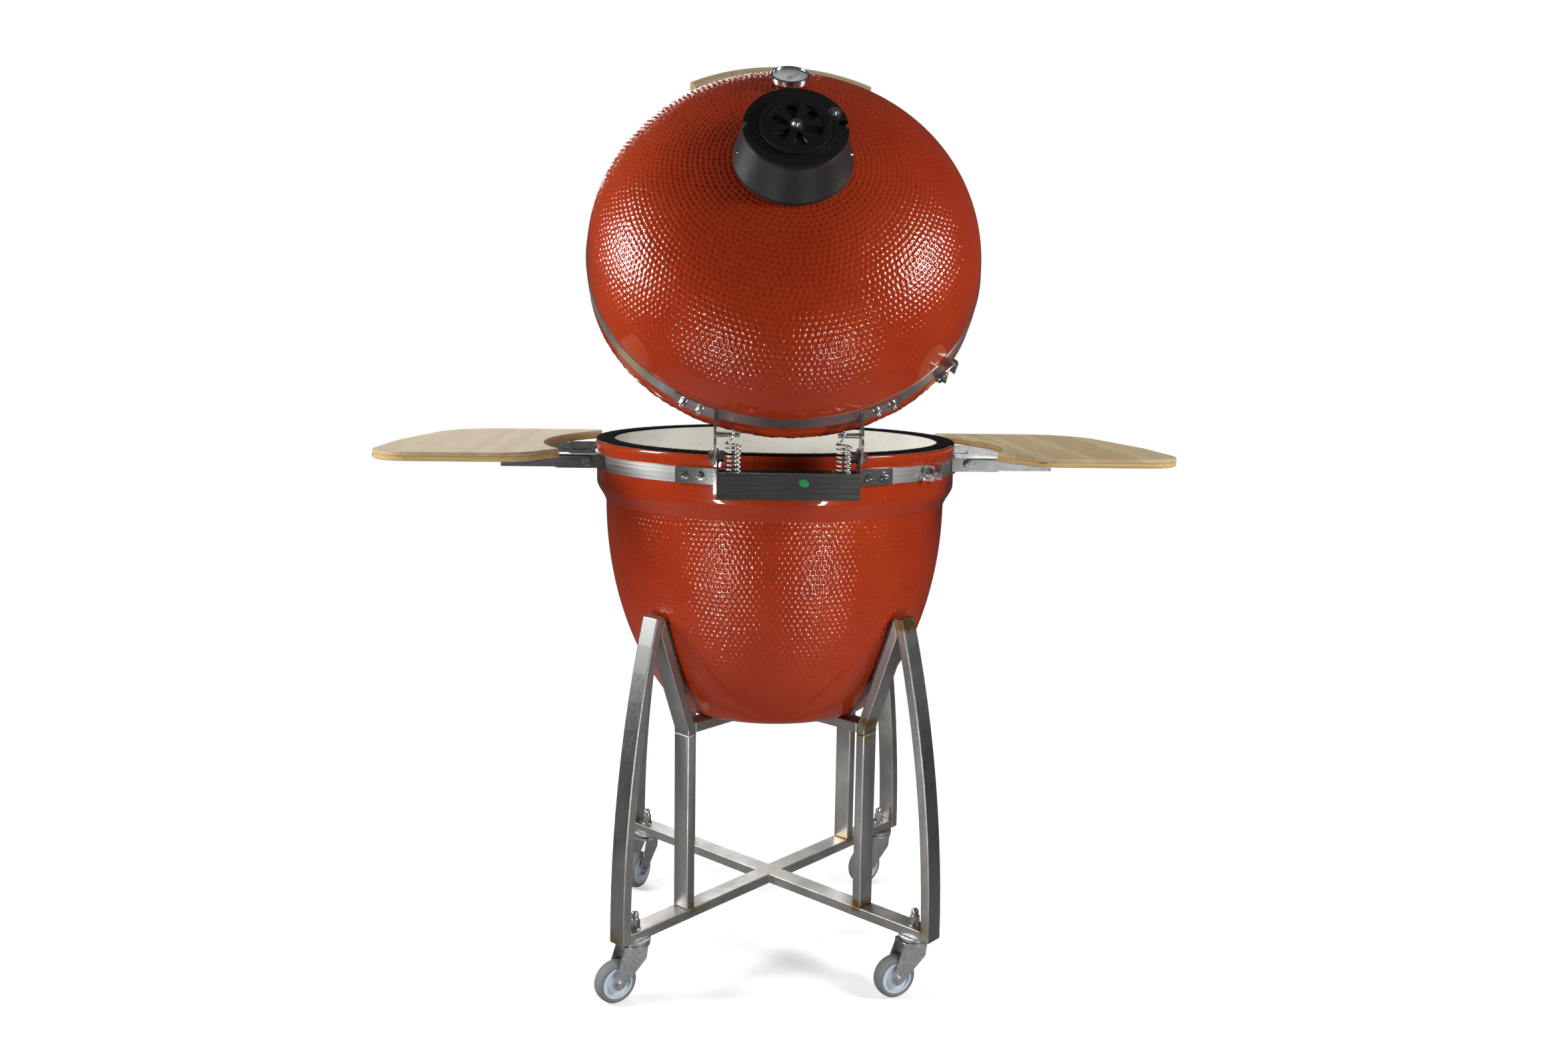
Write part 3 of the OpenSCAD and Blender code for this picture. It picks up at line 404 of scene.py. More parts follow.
# Stretch of the brush marks: round the bands, across the sheet, up the stand
STREAK_ROUND = (3, 3, 1100)
STREAK_X = (7, 1000, 1000)
STREAK_Z = (900, 900, 6)
MAT = {
    "glaze": glaze(),
    "clay": fire_clay("shell_clay", (0.82, 0.79, 0.71), 300),
    "fire_clay": fire_clay("fire_clay", (0.62, 0.52, 0.40), 240),
    "felt": felt("black_felt", (0.002, 0.002, 0.0025), (0.010, 0.010, 0.011), 0.0),
    "pad": felt("grey_felt", (0.035, 0.04, 0.042), (0.10, 0.11, 0.112), 0.2),
    "band": steel("band_steel", 0.78, STREAK_ROUND, 0.32, blotch=0.08),
    "lid_band": steel("lid_band_steel", 0.78, STREAK_ROUND, 0.32, lid_frame=True, blotch=0.08),
    "sheet": steel("sheet_steel", 0.46, STREAK_X, 0.22, blotch=0.14),
    "bracket": steel("bracket_steel", 0.50, (60, 60, 900), 0.2, blotch=0.12),
    "arm": steel("arm_steel", 0.68, (900, 900, 40), 0.28),
    "wire": steel("spring_steel", 0.60, (600, 600, 600), 0.22),
    "stand": steel("stand_steel", 0.56, STREAK_Z, 0.34, weld_tint_and_painted_shade=True, blotch=0.15, warm=0.02),
    "cross": steel("cross_steel", 0.56, (90, 90, 900), 0.34, weld_tint_and_painted_shade=True, blotch=0.15, warm=0.02),
    "bright": chrome("bright_steel", 0.72, 0.2),
    "zinc": chrome("zinc_plate", 0.60, 0.32, cool=0.07),
    "grid": chrome("grid_chrome", 0.72, 0.22),
    "iron": cast("cast_iron", 0.030, 0.0, 0.7),
    "collar": cast("collar_cast", 0.018, 0.35, 0.46),
    "cap": cast("cap_cast", 0.014, 0.2, 0.36),
    "board": bamboo_board(),
    "handle": bamboo_handle(),
    "hub": moulded("hub_plastic", (0.60, 0.68, 0.76), 0.4, fade=0.92),
    "tyre": moulded("tyre_rubber", (0.20, 0.205, 0.215), 0.62),
    "dial": moulded("dial_enamel", (0.86, 0.86, 0.83), 0.35, fade=0.95),
    "ink": moulded("dial_ink", (0.02, 0.02, 0.022), 0.45),
    "red_ink": moulded("dial_red", (0.55, 0.03, 0.02), 0.45),
    "sticker": moulded("green_sticker", (0.0, 0.27, 0.055), 0.5),
    "glass": clear_glass(),
}
LOOK_OF = {
    "fire_clay": ["fire_box", "fire_ring"],
    "iron": ["charcoal_grate"],
    "collar": ["vent_collar"],
    "cap": ["vent_cap", "daisy_wheel"],
    "grid": ["cooking_grid"],
    "band": ["lower_band"],
    "bracket": ["shelf_brackets", "shelf_arms_left", "shelf_arms_right"],
    "lid_band": ["upper_band", "handle_brackets"],
    "sheet": ["hinge_channel", "draft_frame", "draft_door", "draft_screen"],
    "arm": ["hinge_arm_left", "hinge_arm_right"],
    "bright": ["lower_band_bolts", "upper_band_bolts", "pivot_bolts", "vent_screws", "daisy_rivet",
               "thermometer_case", "thermometer_stem", "shelf_bolts", "cap_nuts"],
    "stand": ["stand_legs", "stand_posts", "stand_supports"],
    "cross": ["bottom_cross", "cradle_cross"],
    "pad": ["felt_pads"],
    "board": ["shelf_left", "shelf_right"],
    "handle": ["handle"],
    "dial": ["thermometer_dial"],
    "ink": ["thermometer_pointer"],
    "glass": ["thermometer_glass"],
    "zinc": ["caster_stems"] + [f"caster_fork_{i}" for i in range(1, 5)],
    "hub": [f"caster_hub_{i}" for i in range(1, 5)],
    "tyre": [f"caster_tyre_{i}" for i in range(1, 5)],
}
for look_name, members in LOOK_OF.items():
    for member in members:
        slots = NODES[member].data.materials
        slots.clear()
        slots.append(MAT[look_name])


# ---------------------------------------------------------------- softened edges of metal and wood
def soften(node, width):
    """Rounds a CAD node's sharp edges with modifiers, which leave its mesh as it is."""
    obj = NODES[node]
    obj.modifiers.new("weld", "WELD").merge_threshold = 1e-5
    flat = obj.modifiers.new("flat", "DECIMATE")
    flat.decimate_type = "DISSOLVE"
    flat.angle_limit = math.radians(0.3)
    bevel = obj.modifiers.new("bevel", "BEVEL")
    bevel.width = width
    bevel.segments = 2
    bevel.limit_method = "ANGLE"
    bevel.angle_limit = math.radians(35)
    bevel.use_clamp_overlap = False
    bevel.harden_normals = True


ROUNDED = {"stand_legs": 0.0018, "stand_posts": 0.0018, "stand_supports": 0.0012,
           "bottom_cross": 0.0015, "cradle_cross": 0.0015, "shelf_left": 0.0022,
           "shelf_right": 0.0022}
for node_name, edge_width in ROUNDED.items():
    soften(node_name, edge_width)


# ---------------------------------------------------------------- mesh helpers
def add_object(name, mesh, mats, body, replaces=()):
    obj = new_object(name, mesh)
    for mat in mats:
        mesh.materials.append(mat)
    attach(obj, body)
    if replaces:
        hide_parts(*replaces)
    return obj


def mesh_from(name, points, faces, matrix=None, smooth=True, materials=None):
    mesh = bpy.data.meshes.new(name)
    mesh.from_pydata([tuple(p) for p in points], [], faces)
    if matrix is not None:
        mesh.transform(matrix)
    mesh.validate()
    if smooth:
        mesh.shade_smooth()
    else:
        mesh.shade_flat()
    if materials is not None:
        mesh.polygons.foreach_set("material_index", materials)
    mesh.update()
    return mesh


SMOOTH = 240              # points of a ring where there are no dimples


def circle(r, z, n, start=0.0):
    return [(r * math.cos(start + 2 * math.pi * k / n), r * math.sin(start + 2 * math.pi * k / n), z)
            for k in range(n)]


class Turned:
    """A surface of revolution made of rings, each with its own number of points."""

    def __init__(self):
        self.points, self.rings, self.faces, self.kinds = [], [], [], []

    def ring(self, xyz, start, kind=0):
        """Adds a ring of points at equal angles from start, and joins it to the ring before."""
        first = len(self.points)
        self.points.extend(xyz)
        self.rings.append((first, len(xyz), start))
        if len(self.rings) > 1:
            self._join(self.rings[-2], self.rings[-1], kind)

    def smooth(self, profile, kind=0):
        """Adds a plain ring for each (r, z) of profile."""
        for r, z in profile:
            self.ring(circle(r, z, SMOOTH), 0.0, kind)

    def _join(self, a, b, kind):
        (a0, na, sa), (b0, nb, sb) = a, b
        before = len(self.faces)
        if na == nb and abs(sa - sb) < 1e-9:
            self.faces += [(a0 + i, a0 + (i + 1) % na, b0 + (i + 1) % nb, b0 + i) for i in range(na)]
        else:
            i = j = 0
            j_off = round((sa - sb) / (2 * math.pi / nb))
            while i < na or j < nb:
                next_a = sa + 2 * math.pi * (i + 1) / na
                next_b = sb + 2 * math.pi * (j + 1 + j_off) / nb
                if j >= nb or (i < na and next_a <= next_b):
                    self.faces.append((a0 + i % na, a0 + (i + 1) % na, b0 + (j + j_off) % nb))
                    i += 1
                else:
                    self.faces.append((a0 + i % na, b0 + (j + j_off + 1) % nb, b0 + (j + j_off) % nb))
                    j += 1
        self.kinds += [kind] * (len(self.faces) - before)

    def close(self):
        """Joins the last ring to the first one."""
        self._join(self.rings[-1], self.rings[0], self.kinds[-1])

    def cap(self, which, z, kind=0):
        """Closes the first (0) or last (-1) ring with a fan to a point on the axis."""
        first, n, _ = self.rings[which]
        self.points.append((0, 0, z))
        tip = len(self.points) - 1
        for i in range(n):
            a, b = first + i, first + (i + 1) % n
            self.faces.append((b, a, tip) if which == 0 else (a, b, tip))
        self.kinds += [kind] * n


# ---------------------------------------------------------------- dimpled shells
PITCH = 8.0 * MM          # distance between neighbouring dimples
DIMPLE_R = 3.5 * MM
DIMPLE_DEPTH = 1.3 * MM
ROW = PITCH * math.sqrt(3) / 2
dice = random.Random(7)


def wave(x, y, z):
    """A slow, repeatable variation between -1 and 1."""
    return math.sin(23 * x + 3 * math.sin(17 * z)) * math.cos(19 * y + 2 * math.sin(29 * x))


def dimpled(shell, profile, fade_low=None):
    """Adds rows of dimples along profile, a list of (r, z) that goes upwards."""
    line = np.array(profile)
    run = np.concatenate([[0], np.cumsum(np.hypot(*np.diff(line, axis=0).T))])
    d = ROW / 4

    def at(s):
        return float(np.interp(s, run, line[:, 0])), float(np.interp(s, run, line[:, 1]))

    count, start = 0, 0.0
    for row in range(int(run[-1] / ROW)):
        s0 = (row + 0.5) * ROW
        wanted = 2 * math.pi * at(s0)[0] / PITCH
        if abs(count - wanted) > 0.05 * wanted:
            count = round(wanted)
            start = dice.uniform(0, 2 * math.pi / count)
        start += math.pi / count
        spots = [(dice.gauss(0, 0.35 * MM), dice.gauss(0, 0.30 * MM), dice.uniform(0.84, 1.10))
                 for _ in range(count)]
        n = 4 * count
        for ring_no in (-1, 0, 1, 2):
            s = s0 + ring_no * d
            r, z = at(s)
            (r1, z1), (r2, z2) = at(max(0, s - d)), at(min(run[-1], s + d))
            length = math.hypot(r2 - r1, z2 - z1)
            out_r, out_z = (z2 - z1) / length, (r1 - r2) / length
            ring = []
            for k in range(n):
                angle = start + 2 * math.pi * k / n
                x, y = math.cos(angle), math.sin(angle)
                dx, dy, size = spots[((k + 1) // 4) % count]
                across = ((k + 1) % 4 - 1) * (2 * math.pi * r / n) - dx
                far = math.hypot(across, ring_no * d - dy) / (DIMPLE_R * size)
                depth = DIMPLE_DEPTH * size * max(0.0, 1 - far * far) ** 1.1
                if fade_low is not None:
                    edge = fade_low + 0.020 * wave(x, y, 0.3) + 0.006 * wave(4 * x, 4 * y, 1)
                    depth *= min(1.0, max(0.0, (z - edge) / 0.010))
                ring.append(((r - out_r * depth) * x, (r - out_r * depth) * y, z - out_z * depth))
            shell.ring(ring, start)


BOWL_LOW, BOWL_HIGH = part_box("base_bowl")
FOOT_Z, RIM_Z, RIM_R = BOWL_LOW.z, BOWL_HIGH.z, BOWL_HIGH.x
BELLY_R, BELLY_Z, BELLY_H = 0.258, 0.705, 0.390
BOWL_WALL = 0.028
DIMPLES_FROM, DIMPLES_TO, DIMPLES_FADE = 0.452, 0.7165, 0.480
DUCT_HALF, DUCT_IN, DUCT_LOW, DUCT_HIGH = 0.058, -0.1, 0.440, 0.502


def bowl_profile(r, h, z_from, z_to, steps):
    """Points of an ellipse of semi-axes r and h, between two heights up to the belly."""
    heights = np.linspace(z_from, z_to, steps)
    return [(r * math.sqrt(max(0, 1 - ((BELLY_Z - z) / h) ** 2)), float(z)) for z in heights]


def make_bowl():
    shell = Turned()
    outer = bowl_profile(BELLY_R, BELLY_H, FOOT_Z, BELLY_Z, 60)
    shoulder = [(BELLY_R + (RIM_R - MM - BELLY_R) * (1 - math.cos(math.pi * t)) / 2,
                 BELLY_Z + 0.034 * t) for t in np.linspace(0, 1, 13)]
    whole = outer + shoulder[1:]
    foot_r = outer[0][0]
    foot = [(foot_r - 0.009, FOOT_Z), (foot_r - 0.0025, FOOT_Z + 0.0004),
            (foot_r + 0.0002, FOOT_Z + 0.003)]
    shell.smooth(foot + [p for p in whole if FOOT_Z + 0.004 < p[1] < DIMPLES_FROM])
    shell.cap(0, FOOT_Z)
    dimpled(shell, [p for p in whole if DIMPLES_FROM <= p[1] <= DIMPLES_TO], DIMPLES_FADE)
    rim = [p for p in whole if p[1] > DIMPLES_TO + 0.002]
    rim += [(RIM_R - MM, RIM_Z - 0.014), (RIM_R - 0.0002, RIM_Z - 0.010), (RIM_R, RIM_Z - 0.008),
            (RIM_R, RIM_Z - 0.0022), (RIM_R - 0.0006, RIM_Z - 0.0006), (RIM_R - 0.0022, RIM_Z)]
    shell.smooth(rim)
    inner_r, inner_h, inner_foot = BELLY_R - BOWL_WALL + 0.006, BELLY_H - 0.026, FOOT_Z + 0.030
    felt_in = RIM_R - BOWL_WALL
    inside = [(felt_in + 0.002, RIM_Z), (felt_in + 0.0006, RIM_Z - 0.0006), (felt_in, RIM_Z - 0.002),
              (felt_in, BELLY_Z + 0.040)]
    inside += bowl_profile(inner_r, inner_h, BELLY_Z, inner_foot, 26)
    inside.append((0.06, inner_foot))
    shell.smooth(inside, 1)
    shell.cap(-1, inner_foot, 1)
    mesh = mesh_from("bowl_glazed", shell.points, shell.faces, materials=shell.kinds)
    obj = add_object("bowl_glazed", mesh, [MAT["glaze"], MAT["clay"]], "grill_body",
                     ["base_bowl"])
    duct_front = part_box("draft_frame")[0].y
    cut_box(obj, (-DUCT_HALF, duct_front, DUCT_LOW), (DUCT_HALF, DUCT_IN, DUCT_HIGH))


def cut_box(obj, low, high):
    """Cuts a box out of a closed piece and keeps the result as its mesh."""
    corners = [(x, y, z) for x in (low[0], high[0]) for y in (low[1], high[1]) for z in (low[2], high[2])]
    faces = [(0, 1, 3, 2), (4, 6, 7, 5), (0, 4, 5, 1), (2, 3, 7, 6), (0, 2, 6, 4), (1, 5, 7, 3)]
    cutter = new_object("cutter", mesh_from("cutter", corners, faces, smooth=False))
    cut = obj.modifiers.new("cut", "BOOLEAN")
    cut.operation, cut.object, cut.solver = "DIFFERENCE", cutter, "MANIFOLD"
    bpy.context.view_layer.update()
    done = bpy.data.meshes.new_from_object(obj.evaluated_get(bpy.context.evaluated_depsgraph_get()))
    obj.modifiers.remove(cut)
    bpy.data.objects.remove(cutter)
    obj.data = done


DOME_R, DOME_H, DOME_P, DOME_WALL = 0.2748, 0.2268, 2.55, 0.024
FLUE_R, COLLAR_R = 0.048, 0.077
LID_Z = 0.8063            # underside of the closed lid
DOME_Z = LID_Z + 0.004
BAND_TOP = 0.852          # top edge of the closed lid's band


def dome_point(r, h, a):
    return r * math.cos(a) ** (2 / DOME_P), DOME_Z + h * math.sin(a) ** (2 / DOME_P)


def dome_height(r):
    return DOME_Z + DOME_H * (1 - (r / DOME_R) ** DOME_P) ** (1 / DOME_P)


def make_lid():
    shell = Turned()
    outer = [dome_point(DOME_R, DOME_H, a) for a in np.linspace(0.02, math.pi / 2 - 0.02, 400)]
    smooth_to = BAND_TOP + 0.045
    rim = [(RIM_R - BOWL_WALL + 0.002, LID_Z), (RIM_R - 0.0022, LID_Z), (RIM_R - 0.0006, LID_Z + 0.0006),
           (RIM_R, LID_Z + 0.0022), (RIM_R, 0.825), (RIM_R - MM, 0.829), (RIM_R - MM, BAND_TOP + 0.0008)]
    rim += [p for p in outer if BAND_TOP + 0.003 < p[1] < smooth_to][::4]
    shell.smooth(rim)
    dimpled(shell, [p for p in outer if p[1] >= smooth_to and p[0] >= COLLAR_R - 0.008])
    crown = [p for p in outer if FLUE_R < p[0] < COLLAR_R - 0.010][::5]
    shell.smooth(crown + [(FLUE_R, dome_height(FLUE_R))])
    in_r, in_h = DOME_R - DOME_WALL, DOME_H - DOME_WALL * 0.9
    flue_angle = math.acos((FLUE_R / in_r) ** (DOME_P / 2))
    inner = [dome_point(in_r, in_h, a) for a in np.linspace(flue_angle, 0.05, 34)]
    inner = [p for p in inner if p[1] > DOME_Z + 0.012]
    inner += [(RIM_R - BOWL_WALL, LID_Z + 0.012), (RIM_R - BOWL_WALL, LID_Z + 0.002),
              (RIM_R - BOWL_WALL + 0.0006, LID_Z + 0.0006)]
    shell.smooth(inner, 1)
    shell.close()
    mesh = mesh_from("lid_glazed", shell.points, shell.faces, LID, materials=shell.kinds)
    add_object("lid_glazed", mesh, [MAT["glaze"], MAT["clay"]], "lid",
               ["dome_lid"])


make_bowl()
make_lid()


# ---------------------------------------------------------------- felt gaskets
FELT_POINTS, FELT_FIBRES, FIBRE_W = 480, 1500, 0.00012


def make_gasket(name, node, body, z_low, matrix=None):
    """A soft ring with a ragged edge and loose fibres."""
    r_in, r_out, thick = RIM_R - BOWL_WALL + 0.001, RIM_R - 0.0005, 0.003
    ring = Turned()
    section = [(0.0, 0.15), (0.5, 0.0), (0.9, 0.08), (1.0, 0.45), (0.96, 0.85), (0.8, 1.0), (0.5, 0.96),
               (0.2, 1.0), (0.04, 0.85), (0.0, 0.5)]
    for i, (u, v) in enumerate(section):
        points = []
        for k in range(FELT_POINTS):
            a = 2 * math.pi * k / FELT_POINTS
            rag = 0.0007 * wave(9 * math.cos(a), 9 * math.sin(a), i) + dice.gauss(0, 0.00022)
            lump = 0.00025 * wave(14 * math.sin(a), 12 * math.cos(a), 2 * i) - 0.0002
            r = r_in + (r_out - r_in) * u + (rag if u in (0.0, 1.0) else 0.3 * rag) - 0.0006 * u
            z = z_low + thick * v + (lump if v > 0.2 else 0)
            points.append((r * math.cos(a), r * math.sin(a), z))
        ring.ring(points, 0.0)
    ring.close()
    points, faces = ring.points, ring.faces
    for _ in range(FELT_FIBRES):
        a = dice.uniform(0, 2 * math.pi)
        edge = dice.choice((r_in, r_out - 0.0006))
        away = 1 if edge > r_in else -1
        base = Vector((edge * math.cos(a), edge * math.sin(a), z_low + thick * dice.uniform(0.3, 0.95)))
        out = Vector((math.cos(a), math.sin(a), 0)) * away
        side = Vector((-math.sin(a), math.cos(a), 0))
        tip = base + out * dice.uniform(0.0002, 0.0011) + side * dice.uniform(-0.002, 0.002)
        tip.z = min(tip.z + dice.uniform(0.0, 0.0009), z_low + thick)
        first = len(points)
        points += [base + side * FIBRE_W, base - side * FIBRE_W, base + Vector((0, 0, FIBRE_W)), tip]
        faces += [(first, first + 1, first + 3), (first + 1, first + 2, first + 3),
                  (first + 2, first, first + 3), (first, first + 2, first + 1)]
    mesh = mesh_from(name, points, faces, matrix)
    add_object(name, mesh, [MAT["felt"]], body, [node])


make_gasket("felt_ring_low", "lower_gasket", "grill_body", RIM_Z)
make_gasket("felt_ring_high", "upper_gasket", "lid", LID_Z - 0.003, LID)


# ---------------------------------------------------------------- springs
WIRE_R, WIRE_SIDES = 0.0014, 12
COIL_R, COIL_TURNS, TURN_POINTS = 0.0092, 10, 24
SPRING_Y, SPRING_LOW_Z, PIN_Z = 0.316, 0.7515, 0.833


def wire(path):
    """Points and faces of a round wire along a path."""
    path = [Vector(p) for p in path]
    last = len(path) - 1
    ahead = (path[1] - path[0]).normalized()
    normal = ahead.orthogonal().normalized()
    points, faces = [], []
    for i, p in enumerate(path):
        new = (path[min(i + 1, last)] - path[max(i - 1, 0)]).normalized()
        normal = ahead.rotation_difference(new) @ normal
        ahead = new
        side = ahead.cross(normal)
        for k in range(WIRE_SIDES):
            a = 2 * math.pi * k / WIRE_SIDES
            points.append(p + WIRE_R * (math.cos(a) * normal + math.sin(a) * side))
    for i in range(last):
        for k in range(WIRE_SIDES):
            a, b = i * WIRE_SIDES + k, i * WIRE_SIDES + (k + 1) % WIRE_SIDES
            faces.append((a, b, b + WIRE_SIDES, a + WIRE_SIDES))
    faces.append(tuple(range(WIRE_SIDES - 1, -1, -1)))
    faces.append(tuple(last * WIRE_SIDES + k for k in range(WIRE_SIDES)))
    return points, faces


def spring_path(x):
    """Lower eye, coil and a hook over the pin."""
    y, eye, hook, whole = SPRING_Y, 0.005, 0.0056, 2 * math.pi * COIL_TURNS
    z0, z1 = SPRING_LOW_Z + 0.0125, PIN_Z - 0.012
    path = [(x, y + eye * math.cos(a), SPRING_LOW_Z + 0.008 + eye * math.sin(a))
            for a in np.linspace(math.radians(120), math.radians(300), 8)]
    path += [(x + COIL_R * 0.6, y + 0.004, z0 - 0.0025)]
    path += [(x + COIL_R * math.cos(a), y + COIL_R * math.sin(a), z0 + (z1 - z0) * a / whole)
             for a in np.linspace(0, whole, COIL_TURNS * TURN_POINTS + 1)]
    path += [(x + 0.0075, y + 0.0035, z1 + 0.0028), (x + 0.003, y + 0.0054, z1 + 0.006)]
    path += [(x, y + hook * math.cos(a), PIN_Z + hook * math.sin(a))
             for a in np.linspace(math.radians(-15), math.radians(215), 12)]
    return path


def make_spring(side):
    low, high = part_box(f"spring_{side}")
    middle = (low + high) / 2
    mesh = mesh_from(f"coil_spring_{side}", *wire(spring_path(middle.x)))
    obj = new_object(f"coil_spring_{side}", mesh)
    mesh.materials.append(MAT["wire"])
    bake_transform(obj)
    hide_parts(f"spring_{side}")


make_spring("left")
make_spring("right")


# ---------------------------------------------------------------- thermometer face
GAUGE_Y, GAUGE_TILT = 0.147, math.radians(20)
GAUGE_AT = Vector((0, -GAUGE_Y, dome_height(GAUGE_Y)))
GAUGE = LID @ Matrix.Translation(GAUGE_AT) @ Matrix.Rotation(GAUGE_TILT, 4, "X")
DIAL_Z, INK = 0.0089, 0.0001                 # height of the dial, thickness of its marks
DIAL_START, DIAL_SWEEP = math.radians(225), math.radians(-270)
DIAL_STEPS, LONG_EVERY = 40, 5
NUMBER_R, NUMBER_SIZE = 0.0138, 0.0042


def around(r, a):
    return r * math.cos(a), r * math.sin(a)


def flat_strip(corners):
    """A thin raised mark with a four-cornered outline."""
    points = [(x, y, DIAL_Z) for x, y in corners] + [(x, y, DIAL_Z + INK) for x, y in corners]
    faces = [(0, 3, 2, 1), (4, 5, 6, 7)] + [(i, (i + 1) % 4, 4 + (i + 1) % 4, 4 + i) for i in range(4)]
    return points, faces


def joined(parts):
    points, faces = [], []
    for more_points, more_faces in parts:
        base = len(points)
        points += more_points
        faces += [tuple(base + i for i in face) for face in more_faces]
    return points, faces


def dial_marks():
    parts = []
    for i in range(DIAL_STEPS + 1):
        a = DIAL_START + DIAL_SWEEP * i / DIAL_STEPS
        long = i % LONG_EVERY == 0
        r0, r1, w = (0.0170 if long else 0.0190), 0.0212, (0.00035 if long else 0.00018)
        c, s = math.cos(a), math.sin(a)
        parts.append(flat_strip([(r0 * c + w * s, r0 * s - w * c), (r1 * c + w * s, r1 * s - w * c),
                                 (r1 * c - w * s, r1 * s + w * c), (r0 * c - w * s, r0 * s + w * c)]))
    return joined(parts)


def dial_arc(start, end, r0, r1):
    """A band between two radii, from one share of the scale to another."""
    parts, steps = [], 24
    for i in range(steps):
        a, b = (DIAL_START + DIAL_SWEEP * (start + (end - start) * k / steps) for k in (i, i + 1))
        parts.append(flat_strip([around(r0, b), around(r1, b), around(r1, a), around(r0, a)]))
    return joined(parts)


def dial_number(text, share):
    curve = bpy.data.curves.new("number", "FONT")
    curve.body, curve.size = text, NUMBER_SIZE
    curve.align_x, curve.align_y = "CENTER", "CENTER"
    curve.extrude = INK / 2
    obj = new_object("number", curve)
    bpy.context.view_layer.update()
    mesh = bpy.data.meshes.new_from_object(obj)
    at = around(NUMBER_R, DIAL_START + DIAL_SWEEP * share)
    mesh.transform(Matrix.Translation((*at, DIAL_Z + INK / 2)))
    points = [tuple(v.co) for v in mesh.vertices]
    faces = [tuple(p.vertices) for p in mesh.polygons]
    bpy.data.objects.remove(obj)
    return points, faces


def make_dial():
    numbers = [dial_number(str(100 * i), i / 4) for i in range(5)]
    scale = mesh_from("dial_scale", *joined([dial_marks()] + numbers), GAUGE, smooth=False)
    add_object("dial_scale", scale, [MAT["ink"]], "lid")
    hot_zone = dial_arc(0.62, 0.98, 0.0215, 0.0228)
    zone = mesh_from("dial_hot_zone", *hot_zone, GAUGE, smooth=False)
    add_object("dial_hot_zone", zone, [MAT["red_ink"]], "lid")


make_dial()


# ---------------------------------------------------------------- small pieces
def domed_disc(radius_x, radius_z, thick):
    """A thin oval with a rounded edge, standing on y = 0 and facing +Y."""
    shell = Turned()
    for u, v in ((1.0, 0.0), (1.0, 0.6), (0.96, 0.95), (0.6, 1.0), (0.1, 1.0)):
        shell.ring(circle(u, v, 40), 0.0)
    shell.cap(0, 0.0)
    shell.cap(-1, 1.0)
    points = [(x * radius_x, z * thick, y * radius_z) for x, y, z in shell.points]
    return points, [tuple(reversed(face)) for face in shell.faces]


def make_sticker(x, z, turn):
    channel_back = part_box("hinge_channel")[1].y
    place = Matrix.Translation((x, channel_back, z)) @ Matrix.Rotation(turn, 4, "Y")
    mesh = mesh_from("sticker", *domed_disc(0.0066, 0.0050, 0.00025), place)
    add_object("sticker", mesh, [MAT["sticker"]], "grill_body")


make_sticker(-0.0195, 0.7715, math.radians(-20))


def screw_head(radius, height):
    """A round screw head with a cross recess, facing -Z."""
    shell = Turned()
    n = 32
    for r, z in ((1.0, 0.0), (0.97, -0.35), (0.80, -0.75), (0.55, -0.95)):
        shell.ring(circle(r * radius, z * height, n), 0.0)
    ring = []
    for k in range(n):
        a = 2 * math.pi * k / n
        in_cross = min(abs(math.sin(a)), abs(math.cos(a))) < 0.36
        ring.append((*around(0.42 * radius, a), -height * (0.45 if in_cross else 1.0)))
    shell.ring(ring, 0.0)
    shell.cap(-1, -height * 0.4)
    shell.cap(0, 0.0)
    return shell.points, [tuple(reversed(face)) for face in shell.faces]


SCREW_X, SCREW_IN_Y, FLANGE_Z = (0.368, 0.392), 0.014, 0.779


def make_wood_screws(side, sign):
    """Heads of the screws that hold a shelf on the flanges of its two arms."""
    arm_low, arm_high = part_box(f"shelf_arms_{side}")
    points, faces = screw_head(0.0042, 0.0022)
    parts = []
    for x in SCREW_X:
        for y in (arm_low.y + SCREW_IN_Y, arm_high.y - SCREW_IN_Y):
            parts.append(([(px + sign * x, py + y, pz + FLANGE_Z) for px, py, pz in points], faces))
    mesh = mesh_from(f"wood_screws_{side}", *joined(parts))
    add_object(f"wood_screws_{side}", mesh, [MAT["bright"]], f"shelf_{side}")


make_wood_screws("left", 1)
make_wood_screws("right", -1)


# ---------------------------------------------------------------- floor and light
FLOOR_R, FLOOR_FADE = 1.6, (0.55, 1.5)


def floor_look():
    """Pale floor that fades out into the white surroundings and stays dim in reflections."""
    look = Look("floor", Roughness=0.6)
    grain = look.noise(30, 3, 0.5)
    look.colour(look.ramp(grain, [(0.3, (0.22, 0.22, 0.22)), (0.7, (0.25, 0.25, 0.25))]))
    pale = look.add("BsdfDiffuse", {"Color": (0.93, 0.93, 0.93)}).outputs[0]
    lift = look.add("Emission", {"Color": (1, 1, 1), "Strength": 0.42}).outputs[0]
    lit = look.add("AddShader", {0: pale, 1: lift}).outputs[0]
    eye = look.add("LightPath").outputs["Is Camera Ray"]
    surface = look.add("MixShader", {0: eye, 1: look.bsdf.outputs[0], 2: lit}).outputs[0]
    axes = look.xyz()
    far = look.hypot(axes["X"], axes["Y"])
    gone = look.range(far, FLOOR_FADE[0], FLOOR_FADE[1], smooth=True)
    clear = look.add("BsdfTransparent").outputs[0]
    faded = look.add("MixShader", {0: gone, 1: surface, 2: clear}).outputs[0]
    look.links.new(faded, look.out.inputs["Surface"])
    return look.mat


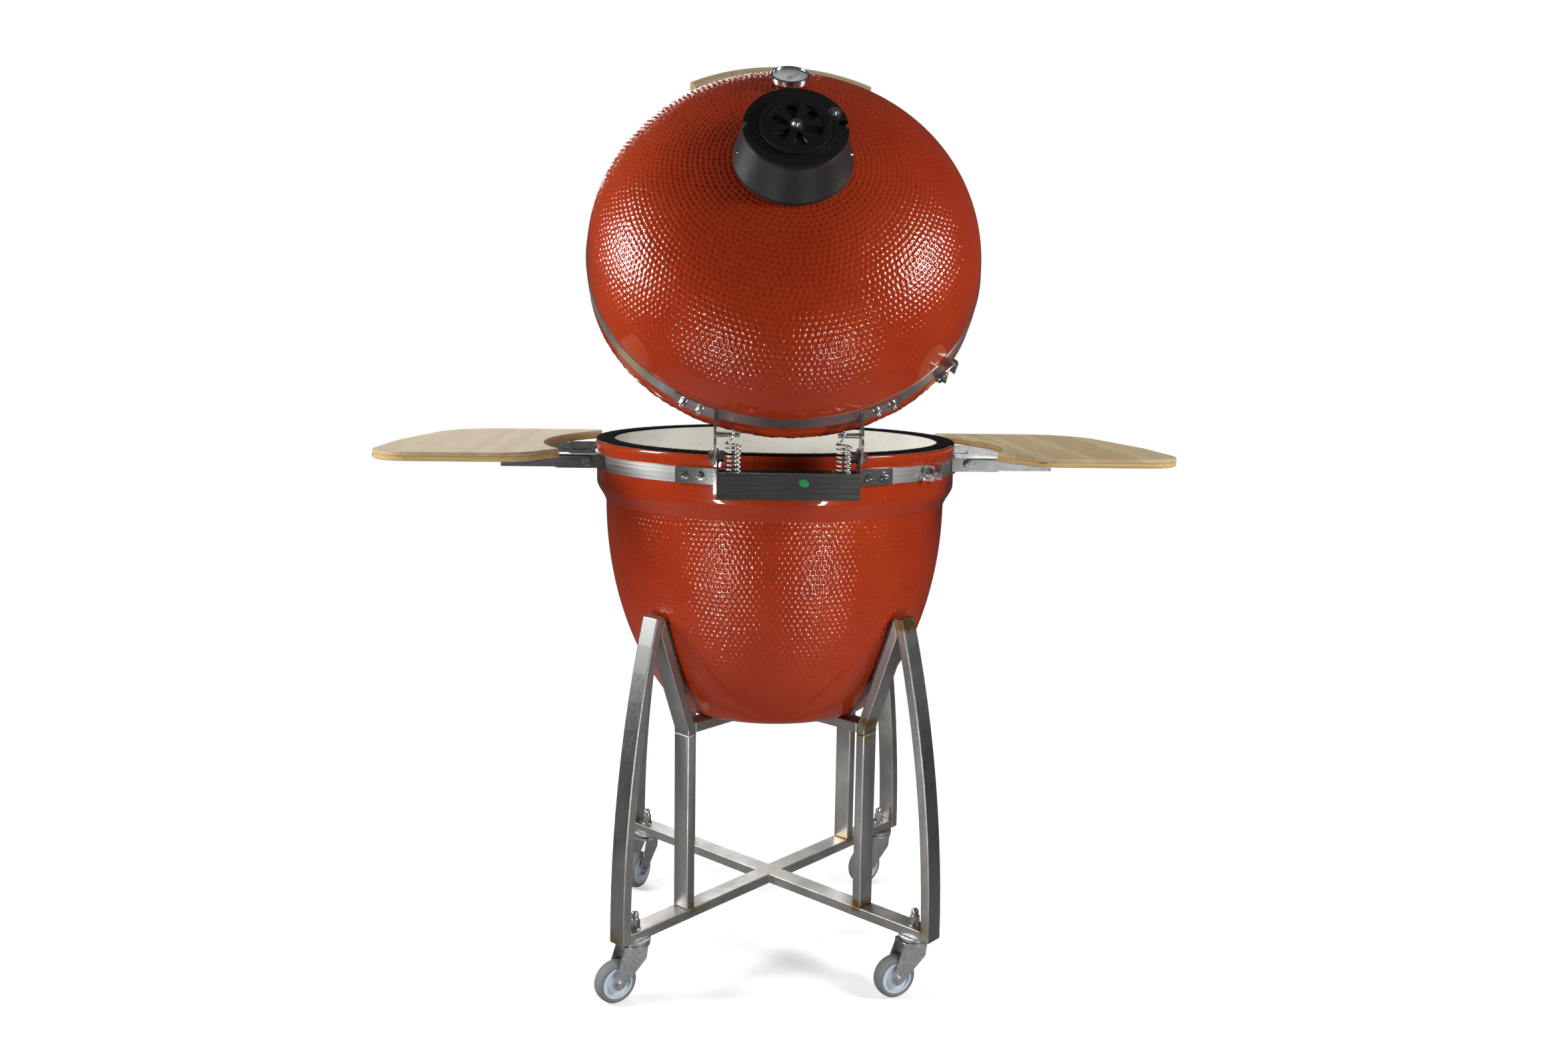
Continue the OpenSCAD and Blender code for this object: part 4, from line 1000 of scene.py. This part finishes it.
floor = new_object("floor", mesh_from("floor", circle(FLOOR_R, 0, 96), [tuple(range(96))]))
floor.location.z = -0.0002
floor.data.materials.append(floor_look())


def softbox(name, at, target, size, glow, mirrored=True):
    """A soft light panel. glow is the radiance of its face."""
    data = bpy.data.lights.new(name, "AREA")
    data.shape, data.size, data.size_y = "RECTANGLE", size[0], size[1]
    data.energy = glow * math.pi * size[0] * size[1]
    lamp = new_object(name, data)
    lamp.location = at
    lamp.rotation_euler = (Vector(target) - Vector(at)).to_track_quat("-Z", "Y").to_euler()
    lamp.visible_camera = False
    lamp.visible_glossy = mirrored


softbox("strip_left", (0.90, 1.22, 0.14), (0, 0, 0.55), (0.11, 0.62), 40)
softbox("strip_right", (-0.66, 1.40, 0.14), (0, 0, 0.55), (0.10, 0.62), 40)
softbox("side_left", (2.0, 0.25, 1.45), (0, 0.1, 0.95), (0.6, 0.9), 26)
softbox("side_right", (-1.85, 0.95, 1.6), (0, 0.1, 0.95), (0.55, 0.8), 26)
softbox("top", (0.0, -0.7, 3.4), (0, 0, 0.6), (2.4, 1.8), 1.55, mirrored=False)
softbox("front", (0.5, -2.8, 2.2), (0, 0, 0.7), (1.6, 1.2), 5)


def make_world():
    """White behind the object, and a dim room for everything the light does."""
    world = bpy.data.worlds.new("studio")
    bpy.context.scene.world = world
    world.use_nodes = True
    nodes, links = world.node_tree.nodes, world.node_tree.links
    nodes.clear()
    out = nodes.new("ShaderNodeOutputWorld")
    choose = nodes.new("ShaderNodeMixShader")
    seen = nodes.new("ShaderNodeLightPath")
    links.new(seen.outputs["Is Camera Ray"], choose.inputs[0])
    for socket, colour, strength in ((1, (0.95, 0.97, 1, 1), 0.05), (2, (1, 1, 1, 1), 1.0)):
        room = nodes.new("ShaderNodeBackground")
        room.inputs["Color"].default_value = colour
        room.inputs["Strength"].default_value = strength
        links.new(room.outputs[0], choose.inputs[socket])
    links.new(choose.outputs[0], out.inputs[0])


make_world()
bpy.context.scene.view_settings.view_transform = "Standard"
